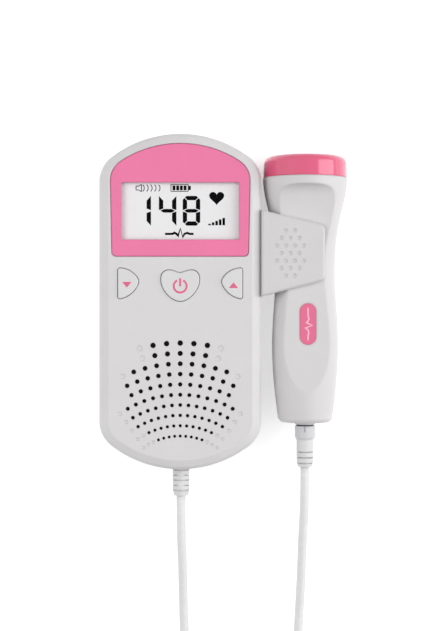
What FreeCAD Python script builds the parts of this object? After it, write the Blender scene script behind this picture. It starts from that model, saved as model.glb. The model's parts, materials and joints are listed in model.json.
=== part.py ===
import FreeCAD, Part
import math
import os
from FreeCAD import Vector

# Hand-held fetal heartbeat monitor: a flat display unit that lies on its back, and an
# ultrasound probe clipped in a holder on its right side, joined by one round cord.
# Millimetres. X runs to the unit's right, Y to its top end, Z out of its display.
# The origin is the middle of the flat back face.

# ---- display unit housing ------------------------------------------------------------
unit_width = 66.0
unit_length = 136.8
unit_depth = 30.0
end_radius = 46.0           # the wide arc of the top and bottom ends
corner_radius = 12.5        # where an end arc turns into a straight side
edge_inset = 3.8            # the flat shoulder round the front and back faces, inwards
edge_drop = 2.2             # and downwards
edge_rim = 1.2              # the steeper cut between the shoulder and the side
inner_edge = 1.2            # the hollow's cut edge under the shoulder
parting_groove = 0.3        # cut edge of each shell along the parting line
wall = 2.2
parting_height = 13.0       # the back shell ends and the front shell begins
lip_height = 2.0            # tongue of the back shell inside the front shell
lip_clearance = 0.12
fit_gap = 0.15              # between parts that are laid into a recess
slide_gap = 0.2             # between parts that slide past each other

# ---- display -------------------------------------------------------------------------
bezel_half_width = 28.35
bezel_foot_half_width = 27.7
bezel_top = 64.1
bezel_bottom = 18.3
bezel_arch_radius = 44.0
bezel_shoulder_radius = 9.5
bezel_foot_radius = 1.8
bezel_thickness = 1.1
bezel_rim_cut = 0.25
bezel_sink = 0.1            # how far the bezel lies under the front face
view_width = 47.8
view_height = 23.2
view_centre_y = 36.7
window_rim = 0.9            # hidden edge of the clear window under the bezel
window_thickness = 1.05
lcd_thickness = 2.2
lcd_margin = 1.6            # glass outside the visible area, sides and top
lcd_ledge = 3.4             # glass below the visible area, with its contacts
lcd_frame_wall = 1.4
lcd_bed = 1.5               # thickness of the light guide under the glass

# ---- buttons -------------------------------------------------------------------------
button_gap = 0.25
button_rise = 0.55          # how far a cap stands out of the front face
button_rim_cut = 0.35
button_travel = 0.6
flange_width = 0.9
flange_thickness = 1.0
flange_gap = 0.15           # between a button's flange and the shell above it
stem_radius = 1.6
switch_gap = 0.1            # left between stem and switch with the button pressed
switch_size = 6.0
switch_body_height = 1.4
switch_plunger_radius = 1.2
heart_half_width = 7.75
heart_height = 12.6
heart_notch = 0.915         # height of the notch, as a share of the heart's height
heart_foot_y = 0.1
heart_arc_error = 0.02      # how far its arcs may leave the smooth heart
side_button_outer_x = 25.2
side_button_inner_x = 16.7
side_button_top_y = 13.5
side_button_foot_y = 1.0
side_button_corner = 0.8
side_button_bow_radius = 2.6
side_button_bow_y = 8.3     # height at which the curved side is widest

# ---- loudspeaker and its grille ------------------------------------------------------
grille_centre_y = -80.4     # common centre of the arcs of holes
grille_first_radius = 25.8
grille_row_pitch = 4.19
grille_angle = 5.0
grille_small_hole = 0.62
grille_large_hole = 1.14
grille_holes_per_side = [4, 5, 6, 6, 6, 5, 5, 4, 2, 2]
grille_dimples_per_side = [3, 2, 1, 1, 1, 0, 0, 1, 1, 1]
pattern_hole_sides = 10     # flat sides of the small holes and pits that repeat
dimple_depth = 0.25
speaker_centre_y = -36.0
speaker_radius = 20.0
speaker_rim_width = 2.5
speaker_rim_thickness = 1.2
speaker_basket_depth = 4.4
speaker_sheet = 0.9
speaker_throat_radius = 7.5
speaker_film_gap = 0.3      # between the film and the cloth over it
speaker_film_slack = 0.1
speaker_cap_radius = 6.5
speaker_cap_rise = 0.6
speaker_magnet_radius = 10.0
speaker_magnet_depth = 3.4
cone_thickness = 0.4
cloth_radius = 24.6
cloth_thickness = 0.3

# ---- circuit board -------------------------------------------------------------------
board_thickness = 1.6
board_top = 21.6
board_half_width = 27.0
board_bottom_y = -11.0
board_edge_gap = 0.6
board_post_radius = 2.2
board_posts = [(12.4, 3.0), (8.0, 57.6)]
board_screw_length = 6.0
chip_sizes = [(-12.0, 22.0, 10.0, 10.0), (10.0, 34.0, 7.0, 5.0), (-10.0, 42.0, 6.0, 8.0)]
chip_height = 1.2

# ---- screws --------------------------------------------------------------------------
screw_radius = 1.3
screw_head_radius = 2.4
screw_head_height = 1.9
screw_slack = 0.05          # radial, in the plastic that the thread cuts
screw_clearance = 0.25      # radial, in the plastic that the shank passes
recess_clearance = 0.4      # radial, round a screw head
slot_width = 0.6
slot_depth = 0.7
boss_radius = 3.3
boss_places = [(20.0, 56.6), (25.0, -52.0)]
housing_screw_seat = 7.0    # height of the shoulder under the head
housing_screw_length = 14.0

# ---- batteries -----------------------------------------------------------------------
cell_radius = 7.1
cell_length = 49.2
cell_nub_radius = 2.7
cell_nub_length = 1.0
cell_spacing = 15.0
cell_slack = 0.45
cell_rim_cut = 0.6
contact_thickness = 0.4
spring_length = 4.2
spring_sheet = 0.4          # a bent leaf spring: its thickness and width
spring_width = 5.0
spring_half_length = 6.0
spring_tab = 1.5            # flat ends on the plate
spring_crest = 1.5          # half of the flat crest against the cell
bay_wall = 1.4
bay_end_gap = 7.8           # from the unit's foot to the bay

# ---- battery door --------------------------------------------------------------------
door_half_width = 17.4
door_thickness = 1.6
door_overlap = 2.0          # how far the door reaches past the bay
door_sink = 0.2             # how far the door lies under the back face
door_tongue = 1.0
door_tongue_thickness = 0.7
door_shelf = 1.4
door_grip_count = 6
door_grip_pitch = 2.2
door_grip_width = 0.9
door_grip_length = 17.0
door_grip_depth = 0.5
door_grip_y = -50.0

# ---- headphone socket ----------------------------------------------------------------
jack_y = 17.0
jack_bore_radius = 1.8
jack_bore_depth = 13.0
jack_nose_radius = 2.9
jack_body_length = 12.2
jack_body_width = 7.0
jack_body_height = 6.0

# ---- probe ---------------------------------------------------------------------------
probe_x = 51.4
probe_height = 17.7         # height of the probe's axis over the back face
probe_seam_y = 51.0         # where the coloured cap begins
probe_tail_y = -49.6
probe_profile = [(51.0, 17.35), (45.2, 16.85), (38.6, 15.4), (32.0, 13.95), (25.3, 12.9),
                 (15.4, 12.3), (5.5, 12.4), (-7.8, 13.3), (-21.0, 13.6), (-34.3, 12.85),
                 (-48.4, 11.1)]
probe_wall = 1.8
probe_tail_cut = 1.2        # the tail's cut rim
probe_grip_bore = 10.4      # the hollow between the facets
probe_grip_top_y = 41.0
probe_grip_foot_y = -36.0
probe_tail_bore = 9.0
probe_mouth_depth = 1.7     # the bore that takes the cap's spigot
facet_depth = 9.8           # from the axis to the flat grip facets
facet_flat_top_y = 30.0
facet_flat_foot_y = -16.0
facet_rise_radius = 40.0    # gentle bend from the flat towards the head
facet_rise_end_y = 43.5
facet_end_radius = 6.0      # tight bend that ends the facet at the head
facet_foot_radius = 78.0
cap_top_y = 59.8
cap_dome = 0.35
cap_rim_inset = 0.15        # the cap's rim against the body at the seam
cap_corner_radius = 3.0
cap_corner_steps = 3        # straight cuts that make the corner
cap_wall = 1.6
cap_spigot_length = 1.5
cap_spigot_wall = 1.2
window_radius = 13.0
window_flange = 1.0
crystal_radius = 12.0
crystal_thickness = 1.0
crystal_split = 1.0
backing_thickness = 5.0
backing_radius = 12.4
probe_board_half_width = 8.0
probe_board_top_y = 34.0
probe_board_foot_y = -12.0
probe_board_thickness = 1.2
label_length = 16.8
label_width = 6.5
label_centre_y = -9.2
label_centre_x = 0.6        # the label sits a little to one side of the facet
label_depth = 0.6
label_rise = 0.15
probe_boss_radius = 3.2
probe_screw_y = [24.0, -33.0]
probe_screw_seat = 4.6      # below the axis
probe_screw_length = 9.0

# ---- cord, glands and strain reliefs -------------------------------------------------
cord_radius = 1.9
relief_radius = 3.5
relief_tip_radius = 3.0
relief_taper = 2.6          # length of the tapered tip
relief_length = 12.2
relief_flange_gap = 0.35    # behind the curved end wall
relief_neck_radius = 2.7
relief_flange_radius = 4.2
relief_flange_thickness = 1.4
relief_slot_count = 5
relief_first_slot = 1.2     # from the unit's end to the first slot
relief_slot_width = 0.55
relief_slot_depth = 1.1
relief_slot_sweep = 140.0   # degrees of the round that each slot takes
collar_radius = 4.2
collar_tip_radius = 3.7
collar_taper = 1.0
collar_length = 7.4
collar_tenon_radius = 2.8
collar_tenon_stand = 1.2    # how far the tenon stands inside the probe's tail
collar_groove = 0.6
boot_radius = 3.5
boot_tip_radius = 3.0
boot_taper = 2.6
boot_length = 11.2
boot_first_groove = 1.3     # from the boot's tip
boot_groove_width = 0.5
boot_groove_depth = 0.9
boot_groove_count = 3
boot_groove_pitch = 2.3
coil_radius = 22.2
coil_band_width = 11.6
coil_height = 7.8
coil_centre = (25.4, -172.0)
tie_angle = 18.0            # the part of the coil's round that the band covers
tie_thickness = 0.6
tie_clearance = 0.05
cord_arc_share = 0.45       # of the shorter run, taken by the arc at a corner

# ---- probe holder --------------------------------------------------------------------
holder_base_thickness = 2.8
holder_arm_thickness = 2.2
holder_clearance = 0.4      # between each arm and the facet that it holds
holder_root_top_y = 37.2
holder_root_foot_y = 2.0
holder_tip_top_y = 30.9
holder_tip_foot_y = 8.8
holder_tip_x = 58.7
holder_corner_radius = 2.6
holder_edge_cut = 0.7
holder_inner_radius = 1.6
holder_screw_y = [10.0, 28.5]
holder_screw_length = 4.4
dimple_radius = 0.75
holder_dimple_depth = 0.3
holder_dimple_pitch_x = 3.63
holder_dimple_pitch_y = 3.06
holder_dimple_rows = [2, 3, 4, 3, 4, 3, 2]
holder_dimple_centre = (44.65, 19.6)

# ---- derived places ------------------------------------------------------------------
inner_face = unit_depth - wall
bezel_floor = unit_depth - bezel_sink - bezel_thickness
window_top = bezel_floor
lcd_top = window_top - window_thickness
lcd_foot = lcd_top - lcd_thickness
unit_foot_y = -unit_length / 2
bay_foot_y = unit_foot_y + bay_end_gap
bay_top_y = (bay_foot_y + cell_length + cell_nub_length + spring_length
             + 2 * contact_thickness)
door_top_y = bay_top_y + door_overlap
door_roof = door_sink + door_thickness + slide_gap
bay_half_width = cell_spacing / 2 + cell_radius + cell_slack
cell_height = door_roof + cell_slack + cell_radius
bay_roof = cell_height + cell_radius + cell_slack
relief_tip_y = unit_foot_y - relief_length
coil_foot = tie_thickness + tie_clearance
collar_foot_y = probe_tail_y - collar_length
boot_foot_y = collar_foot_y - boot_length
cap_rim_radius = probe_profile[0][1] - cap_rim_inset
jack_height = board_top - board_thickness - jack_body_height / 2

# One cord: from the unit's relief down to the table and into the coil past the lower
# edge, and out of the coil again up to the probe's boot.
unit_cord_points = [
    (0.0, relief_tip_y, parting_height),
    (0.0, relief_tip_y - 14.0, parting_height),
    (0.6, relief_tip_y - 29.0, parting_height - 3.4),
    (0.8, relief_tip_y - 46.0, 5.4),
    (1.5, relief_tip_y - 64.0, 2.4),
    (2.4, relief_tip_y - 79.0, coil_foot + cord_radius + 0.2),
]
probe_cord_points = [
    (probe_x, boot_foot_y, probe_height),
    (probe_x, boot_foot_y - 14.0, probe_height),
    (probe_x - 0.7, boot_foot_y - 30.0, probe_height - 4.4),
    (probe_x - 1.0, boot_foot_y - 48.0, 8.4),
    (probe_x - 1.7, boot_foot_y - 66.0, 4.4),
    (probe_x - 2.8, boot_foot_y - 83.0, 4.5),
    (probe_x - 3.3, boot_foot_y - 96.0, 6.2),
]


OFFSET_KEEPS_CORNERS = 2    # the joining rule of an offset that extends its sides


# ---- small makers --------------------------------------------------------------------
def block(low, high):
    size = [b - a for a, b in zip(low, high)]
    return Part.makeBox(size[0], size[1], size[2], Vector(*low))


def rod(foot, radius, length, axis=(0, 0, 1)):
    return Part.makeCylinder(radius, length, Vector(*foot), Vector(*axis))


def frustum(foot, foot_radius, top_radius, length, axis):
    return Part.makeCone(foot_radius, top_radius, length, Vector(*foot), Vector(*axis))


def slab(wire, foot, top):
    """The closed wire, which lies at Z 0, as a plate from foot to top."""
    plate = Part.Face(wire).extrude(Vector(0, 0, top - foot))
    plate.translate(Vector(0, 0, foot))
    return plate


def arc(a, middle, b):
    return Part.Arc(Vector(*a), Vector(*middle), Vector(*b)).toShape()


def line(a, b):
    return Part.makeLine(Vector(*a), Vector(*b))


def mirrored_x(shape):
    return shape.mirror(Vector(0, 0, 0), Vector(1, 0, 0))


def both_sides(shape):
    return [shape, mirrored_x(shape)]


def fused(shapes):
    whole = shapes[0]
    if len(shapes) > 1:
        whole = whole.multiFuse(shapes[1:])
    return whole.removeSplitter()


def edges_at_height(shape, height, reach=0.01):
    """The edges that lie level at one height."""
    return [e for e in shape.Edges
            if abs(e.BoundBox.ZMin - height) < reach and abs(e.BoundBox.ZMax - height) < reach]


def rounded_rectangle(centre, width, height, radius):
    x, y = centre
    a, b = width / 2, height / 2
    k = radius * (1 - math.sqrt(0.5))
    parts = []
    for sx, sy in ((1, 1), (-1, 1), (-1, -1), (1, -1)):
        along_x = (x + sx * (a - radius), y + sy * b, 0)
        along_y = (x + sx * a, y + sy * (b - radius), 0)
        bend = (x + sx * (a - k), y + sy * (b - k), 0)
        ends = (along_y, along_x) if sx * sy > 0 else (along_x, along_y)
        parts.append((ends[0], bend, ends[1]))
    edges = []
    for i, (start, bend, end) in enumerate(parts):
        edges += [arc(start, bend, end), line(end, parts[(i + 1) % 4][0])]
    return Part.Wire(edges)


def flat_sided_rod(place, radius, foot, top):
    """A small round hole or pit of a pattern, with flat sides so that the pattern stays light."""
    turns = [2 * math.pi * i / pattern_hole_sides for i in range(pattern_hole_sides + 1)]
    corners = [Vector(place[0] + radius * math.cos(t), place[1] + radius * math.sin(t), 0)
               for t in turns]
    return slab(Part.makePolygon(corners), foot, top)


def screw(foot, axis, shank, length):
    """A slotted pan-head screw. foot is where the head seats, and axis points to the tip."""
    direction = Vector(*axis)
    seat = Vector(*foot)
    back = direction * -1
    body = fused([
        Part.makeCylinder(shank, length, seat, direction),
        Part.makeCylinder(screw_head_radius, screw_head_height, seat, back),
    ])
    slot = Part.makeBox(slot_width, 2.2 * screw_head_radius, slot_depth)
    slot.translate(Vector(-slot_width / 2, -1.1 * screw_head_radius, screw_head_height - slot_depth))
    slot.Placement = FreeCAD.Placement(
        seat, FreeCAD.Rotation(Vector(0, 0, 1), back)).multiply(slot.Placement)
    return body.cut(slot)


# ---- display unit --------------------------------------------------------------------
def housing_outline(inset):
    """The unit's outline, moved inwards: wide end arcs, corner arcs and straight sides."""
    half_width = unit_width / 2 - inset
    half_length = unit_length / 2 - inset
    big = end_radius - inset
    small = corner_radius - inset
    arc_centre_y = half_length - big
    corner_x = half_width - small
    corner_y = arc_centre_y + math.sqrt((big - small) ** 2 - corner_x ** 2)
    share = big / (big - small)
    join_x = corner_x * share
    join_y = arc_centre_y + (corner_y - arc_centre_y) * share
    turn = math.atan2(corner_y - arc_centre_y, corner_x) / 2
    bend_x = corner_x + small * math.cos(turn)
    bend_y = corner_y + small * math.sin(turn)
    return Part.Wire([
        arc((-join_x, join_y, 0), (0, half_length, 0), (join_x, join_y, 0)),
        arc((join_x, join_y, 0), (bend_x, bend_y, 0), (half_width, corner_y, 0)),
        line((half_width, corner_y, 0), (half_width, -corner_y, 0)),
        arc((half_width, -corner_y, 0), (bend_x, -bend_y, 0), (join_x, -join_y, 0)),
        arc((join_x, -join_y, 0), (0, -half_length, 0), (-join_x, -join_y, 0)),
        arc((-join_x, -join_y, 0), (-bend_x, -bend_y, 0), (-half_width, -corner_y, 0)),
        line((-half_width, -corner_y, 0), (-half_width, corner_y, 0)),
        arc((-half_width, corner_y, 0), (-bend_x, bend_y, 0), (-join_x, join_y, 0)),
    ])


def housing_block(inset, foot, top):
    return slab(housing_outline(inset), foot, top)


def chamfered(shape, height, size):
    return shape.makeChamfer(size, edges_at_height(shape, height))


def shouldered_half(foot, top, face_height, inwards):
    """Half of the housing, solid. Its face has a flat shoulder round it and a steep rim."""
    half = housing_block(0, foot, top)
    half = half.makeChamfer(edge_drop, edge_inset, edges_at_height(half, face_height))
    half = chamfered(half, face_height + inwards * edge_drop, edge_rim)
    return chamfered(half, parting_height, parting_groove)


def bezel_outline(grow):
    """The panel round the display: an arched top, leaning sides and small foot corners."""
    half = bezel_half_width + grow
    foot_half = bezel_foot_half_width + grow
    top = bezel_top + grow
    foot = bezel_bottom - grow
    big = bezel_arch_radius + grow
    small = bezel_shoulder_radius + grow
    arc_centre_y = top - big
    corner_x = half - small
    corner_y = arc_centre_y + math.sqrt((big - small) ** 2 - corner_x ** 2)
    share = big / (big - small)
    join = (corner_x * share, arc_centre_y + (corner_y - arc_centre_y) * share)
    turn = math.atan2(corner_y - arc_centre_y, corner_x) / 2
    bend = (corner_x + small * math.cos(turn), corner_y + small * math.sin(turn))
    right = [
        line((0, foot, 0), (foot_half, foot, 0)),
        line((foot_half, foot, 0), (half, corner_y, 0)),
        arc((half, corner_y, 0), (bend[0], bend[1], 0), (join[0], join[1], 0)),
    ]
    top_arc = arc((join[0], join[1], 0), (0, top, 0), (-join[0], join[1], 0))
    left = [mirrored_x(e) for e in right]
    return Part.Wire(Part.__sortEdges__(right + [top_arc] + left))


def bezel_plate(grow, foot, top):
    plate = slab(bezel_outline(grow), foot, top)
    upright = [e for e in plate.Edges
               if e.BoundBox.ZLength > 0.5 * (top - foot)
               and e.BoundBox.YMax < bezel_bottom + 1.0]
    return plate.makeFillet(bezel_foot_radius + grow, upright)


def view_plate(grow, foot, top):
    wire = rounded_rectangle((0, view_centre_y), view_width + 2 * grow,
                             view_height + 2 * grow, 0.4 + max(grow, 0))
    return slab(wire, foot, top)


def heart_outline(grow):
    """A broad heart in smoothly joined arcs: a shallow notch, round shoulders, a blunt foot."""
    w = heart_half_width + grow
    h = heart_height + 2 * grow
    y = heart_foot_y - grow
    right = [(0.31 * w, y + 0.966 * h), (0.60 * w, y + h), (0.895 * w, y + 0.918 * h),
             (w, y + 0.70 * h), (0.73 * w, y + 0.262 * h)]
    places = [(0, y + heart_notch * h)] + right + [(0, y)]
    places += [(-px, py) for px, py in reversed(right)]
    curve = Part.BSplineCurve()
    curve.interpolate(Points=[Vector(px, py, 0) for px, py in places], PeriodicFlag=True)
    return Part.Wire([piece.toShape() for piece in curve.toBiArcs(heart_arc_error)])


def side_button_outline(side, grow):
    """A volume key: a straight outer side and two bowed sides, with rounded corners."""
    outer = side * side_button_outer_x
    inner = side * side_button_inner_x
    width = outer - inner
    top = side_button_top_y
    foot = side_button_foot_y
    bow_y = side_button_bow_y
    high = (inner + 0.34 * width, bow_y + 0.68 * (top - bow_y), 0)
    low = (inner + 0.27 * width, bow_y - 0.575 * (bow_y - foot), 0)
    bow = (inner, bow_y, 0)
    sharp = Part.Wire([
        line((outer, foot, 0), (outer, top, 0)),
        arc((outer, top, 0), high, bow),
        arc(bow, low, (outer, foot, 0)),
    ])
    if grow:
        sharp = sharp.makeOffset2D(grow, OFFSET_KEEPS_CORNERS)
    plate = slab(sharp, 0, 1)
    upright = [e for e in plate.Edges if e.BoundBox.ZLength > 0.5]
    at_bow = [e for e in upright if abs(e.BoundBox.Center.y - bow_y) < 1]
    plate = plate.makeFillet(side_button_bow_radius + grow, at_bow)
    corners = [e for e in plate.Edges if e.BoundBox.ZLength > 0.5
               and abs(e.BoundBox.Center.x) > side_button_outer_x - 0.1]
    plate = plate.makeFillet(side_button_corner + grow, corners)
    return [f for f in plate.Faces if f.BoundBox.ZMax < 0.01][0].OuterWire


def button_outlines(grow=0):
    return {"power_button": heart_outline(grow),
            "volume_up_button": side_button_outline(1, grow),
            "volume_down_button": side_button_outline(-1, grow)}


def button(name):
    """A key: the cap in the shell's opening, a flange under the shell and a short stem."""
    top = unit_depth + button_rise
    flange_top = inner_face - flange_gap
    flange_foot = flange_top - flange_thickness
    outline = button_outlines()[name]
    cap = slab(outline, flange_top, top)
    cap = chamfered(cap, top, button_rim_cut)
    flange = slab(button_outlines(button_gap + flange_width)[name], flange_foot, flange_top)
    middle = outline.BoundBox.Center
    stem = rod((middle.x, middle.y, stem_foot()), stem_radius, flange_foot - stem_foot())
    return fused([cap, flange, stem])


def plunger_top():
    return board_top + switch_body_height + switch_gap + 1.0


def stem_foot():
    return plunger_top() + button_travel + switch_gap


def tact_switches():
    switches = []
    for outline in button_outlines().values():
        middle = outline.BoundBox.Center
        half = switch_size / 2
        body = block((middle.x - half, middle.y - half, board_top),
                     (middle.x + half, middle.y + half, board_top + switch_body_height))
        plunger = rod((middle.x, middle.y, board_top + switch_body_height),
                      switch_plunger_radius, plunger_top() - board_top - switch_body_height)
        switches.append(fused([body, plunger]))
    return Part.makeCompound(switches)


def grille_rows():
    """(radius, hole radius, holes each side, dimples each side) of each arc of the grille."""
    rows = len(grille_holes_per_side)
    for i in range(rows):
        share = i / (rows - 1)
        hole = grille_small_hole + share * (grille_large_hole - grille_small_hole)
        yield (grille_first_radius + i * grille_row_pitch, hole,
               grille_holes_per_side[i], grille_dimples_per_side[i])


def grille_place(radius, step):
    angle = math.radians(step * grille_angle)
    return radius * math.sin(angle), grille_centre_y + radius * math.cos(angle)


def grille_holes():
    cutters = []
    for radius, hole, holes, dimples in grille_rows():
        for step in range(-holes, holes + 1):
            cutters.append(flat_sided_rod(grille_place(radius, step), hole, inner_face - 1,
                                          unit_depth + 1))
    return Part.makeCompound(cutters)


def grille_dimples():
    cutters = []
    for radius, hole, holes, dimples in grille_rows():
        for step in range(holes + 1, holes + dimples + 1):
            cutters += both_sides(flat_sided_rod(grille_place(radius, step), hole,
                                                 unit_depth - dimple_depth, unit_depth + 1))
    return Part.makeCompound(cutters)


def placed_pairs(places):
    return [(side * x, y) for x, y in places for side in (1, -1)]


def relief_seat(shape_foot, shape_top):
    """What the two shells leave free for the unit's strain relief at the parting plane."""
    neck = rod((0, unit_foot_y + wall + 1, parting_height), relief_neck_radius + 0.05,
               2 * wall + 2, (0, -1, 0))
    keep = block((-10, unit_foot_y - 10, shape_foot), (10, unit_foot_y + 20, shape_top))
    return neck.common(keep)


def jack_opening():
    return rod((-unit_width / 2 - 1, jack_y, jack_height), jack_nose_radius + fit_gap, wall + 2,
               (1, 0, 0))


def front_cover():
    shell = shouldered_half(parting_height, unit_depth, unit_depth, -1)
    hollow = chamfered(housing_block(wall, parting_height - 1, inner_face), inner_face, inner_edge)
    rabbet = housing_block(wall / 2 - lip_clearance, parting_height - 1,
                           parting_height + lip_height + lip_clearance)
    shell = shell.cut(hollow).cut(rabbet)
    posts = []
    for x, y in placed_pairs(boss_places):
        posts.append(rod((x, y, parting_height), boss_radius, inner_face - parting_height + 0.5))
    for x, y in placed_pairs(board_posts):
        posts.append(rod((x, y, board_top), board_post_radius, inner_face - board_top + 0.5))
    shell = fused([shell] + posts)
    shell = shell.cut(bezel_plate(fit_gap, bezel_floor, unit_depth + 1))
    cutters = [view_plate(window_rim + fit_gap, inner_face - 1, unit_depth)]
    for outline in button_outlines(button_gap).values():
        cutters.append(slab(outline, inner_face - 1, unit_depth + 1))
    for x, y in placed_pairs(boss_places):
        cutters.append(rod((x, y, parting_height - 1), screw_radius + screw_slack,
                           housing_screw_seat + housing_screw_length - parting_height + 2))
    for x, y in placed_pairs(board_posts):
        cutters.append(rod((x, y, board_top - 1), screw_radius + screw_slack,
                           board_screw_length - board_thickness + 1.5))
    for y in holder_screw_y:
        cutters.append(rod((unit_width / 2 - wall - 1, y, probe_height),
                           screw_radius + screw_clearance, wall + 2, (1, 0, 0)))
    cutters += [jack_opening(), relief_seat(parting_height - 1, unit_depth)]
    return shell.cut(cutters).cut(grille_holes()).cut(grille_dimples()).removeSplitter()


def door_channel(gap):
    """The room for the door, or with no gap the door's own section, run along Y."""
    half = door_half_width + gap
    low = door_sink if not gap else -1
    tongue_top = door_sink + door_thickness + gap
    tongue_foot = door_sink + door_thickness - door_tongue_thickness - gap
    top_y = door_top_y + gap
    foot_y = unit_foot_y - 5
    panel = block((-half, foot_y, low), (half, top_y, tongue_top))
    tongues = block((-half - door_tongue, foot_y, tongue_foot),
                    (half + door_tongue, top_y, tongue_top))
    return fused([panel, tongues])


def rear_cover():
    hollow = chamfered(housing_block(wall, wall, parting_height + 1), wall, inner_edge)
    shell = shouldered_half(0, parting_height, 0, 1).cut(hollow)
    lip = housing_block(wall / 2, parting_height - 1, parting_height + lip_height)
    lip = lip.cut(housing_block(wall, parting_height - 2, parting_height + lip_height + 1))
    shelf_half = door_half_width + door_tongue + bay_wall
    shelf = block((-shelf_half, unit_foot_y, wall), (shelf_half, door_top_y + bay_wall,
                                                    door_roof + door_shelf))
    inside = housing_block(wall / 2, 0, unit_depth)
    bay_box = block((-bay_half_width - bay_wall, bay_foot_y - bay_wall, wall),
                    (bay_half_width + bay_wall, bay_top_y + bay_wall, bay_roof + bay_wall))
    bosses = [rod((x, y, wall - 0.5), boss_radius + 0.5, parting_height - wall + 0.5)
              for x, y in placed_pairs(boss_places)]
    shell = fused([shell, lip, shelf.common(inside), bay_box] + bosses)
    bay = block((-bay_half_width, bay_foot_y, -1), (bay_half_width, bay_top_y, bay_roof))
    cutters = [bay, door_channel(slide_gap)]
    for x, y in placed_pairs(boss_places):
        cutters.append(rod((x, y, -1), screw_head_radius + recess_clearance,
                           housing_screw_seat + 1))
        cutters.append(rod((x, y, 0), screw_radius + screw_clearance, parting_height + 1))
    cutters += [jack_opening(), relief_seat(0, parting_height + lip_height + 1)]
    return shell.cut(cutters).removeSplitter()


def battery_door():
    panel = door_channel(0).common(shouldered_half(0, parting_height, 0, 1))
    grips = []
    for i in range(door_grip_count):
        y = door_grip_y + i * door_grip_pitch
        grips.append(block((-door_grip_length / 2, y, -1),
                           (door_grip_length / 2, y + door_grip_width,
                            door_sink + door_grip_depth)))
    arrow_y = door_grip_y - 3.0
    arrow = Part.makePolygon([Vector(-3, arrow_y, 0), Vector(3, arrow_y, 0),
                              Vector(0, arrow_y - 3.5, 0), Vector(-3, arrow_y, 0)])
    grips.append(slab(arrow, -1, door_sink + door_grip_depth))
    return panel.cut(grips)


def display_bezel():
    top = bezel_floor + bezel_thickness
    plate = chamfered(bezel_plate(0, bezel_floor, top), top, bezel_rim_cut)
    return plate.cut(view_plate(0, bezel_floor - 1, unit_depth + 1))


def display_window():
    return view_plate(window_rim, lcd_top, window_top)


def lcd_box(margin, foot, top):
    half = view_width / 2 + lcd_margin + margin
    low = view_centre_y - view_height / 2 - lcd_ledge - margin
    high = view_centre_y + view_height / 2 + lcd_margin + margin
    return block((-half, low, foot), (half, high, top))


def lcd_panel():
    """Two sheets of glass, the lower one longer, with its contact ledge free."""
    glass = lcd_box(0, lcd_foot, lcd_top)
    ledge = block((-unit_width, view_centre_y - view_height, lcd_foot + lcd_thickness / 2),
                  (unit_width, view_centre_y - view_height / 2 - lcd_ledge / 2, unit_depth))
    return glass.cut(ledge)


def lcd_frame():
    outside = lcd_box(lcd_frame_wall, board_top, lcd_foot + lcd_thickness / 2)
    pocket = lcd_box(fit_gap, lcd_foot, unit_depth)
    below = lcd_box(-lcd_frame_wall, board_top - 1, lcd_foot - lcd_bed)
    return outside.cut([pocket, below])


def main_board():
    plate = slab(housing_outline(wall + board_edge_gap), board_top - board_thickness, board_top)
    keep = block((-board_half_width, board_bottom_y, 0),
                 (board_half_width, unit_length, unit_depth))
    plate = plate.common(keep)
    cutters = [rod((x, y, 0), boss_radius + board_edge_gap, unit_depth)
               for x, y in placed_pairs(boss_places)]
    cutters += [rod((x, y, 0), screw_radius + screw_clearance, unit_depth)
                for x, y in placed_pairs(board_posts)]
    return plate.cut(cutters)


def board_chips():
    under = board_top - board_thickness
    return Part.makeCompound([
        block((x - w / 2, y - h / 2, under - chip_height), (x + w / 2, y + h / 2, under))
        for x, y, w, h in chip_sizes])


def board_screws():
    under = board_top - board_thickness
    return Part.makeCompound([screw((x, y, under), (0, 0, 1), screw_radius, board_screw_length)
                              for x, y in placed_pairs(board_posts)])


def housing_screws():
    return Part.makeCompound([
        screw((x, y, housing_screw_seat), (0, 0, 1), screw_radius, housing_screw_length)
        for x, y in placed_pairs(boss_places)])


def speaker_rim_top():
    return inner_face - cloth_thickness


def speaker_cloth():
    return rod((0, speaker_centre_y, speaker_rim_top()), cloth_radius, cloth_thickness)


def revolved(points, centre, axis=(0, 0, 1)):
    """A closed section of (distance from the axis, height) points, turned about the axis."""
    outline = [Vector(r, 0, h) for r, h in points] + [Vector(points[0][0], 0, points[0][1])]
    solid = Part.Face(Part.makePolygon(outline)).revolve(Vector(0, 0, 0), Vector(0, 0, 1), 360)
    solid.Placement = FreeCAD.Placement(
        Vector(*centre), FreeCAD.Rotation(Vector(0, 0, 1), Vector(*axis)))
    return solid


def speaker_frame():
    """The pressed basket: a flat rim, a short wall and a floor with the magnet's opening."""
    top = speaker_rim_top()
    inner = speaker_radius - speaker_rim_width
    rim_foot = top - speaker_rim_thickness
    seat = top - speaker_basket_depth
    floor = seat + speaker_sheet
    return revolved([
        (inner, top), (speaker_radius, top), (speaker_radius, rim_foot),
        (inner + speaker_sheet, rim_foot), (inner + speaker_sheet, seat),
        (speaker_throat_radius, seat), (speaker_throat_radius, floor), (inner, floor),
    ], (0, speaker_centre_y, 0))


def speaker_cone():
    """The diaphragm: a flat film with a raised cap in its middle."""
    top = speaker_rim_top() - speaker_film_gap
    film = top - speaker_cap_rise
    rim = speaker_radius - speaker_rim_width - speaker_film_slack
    cap = speaker_cap_radius
    t = cone_thickness
    return revolved([
        (0, top), (cap, top), (cap, film), (rim, film), (rim, film - t), (cap - t, film - t),
        (cap - t, top - t), (0, top - t),
    ], (0, speaker_centre_y, 0))


def speaker_magnet():
    top = speaker_rim_top() - speaker_basket_depth
    plate = rod((0, speaker_centre_y, top - speaker_magnet_depth), speaker_magnet_radius,
                speaker_magnet_depth)
    return plate.makeChamfer(0.5, edges_at_height(plate, top - speaker_magnet_depth))


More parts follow.
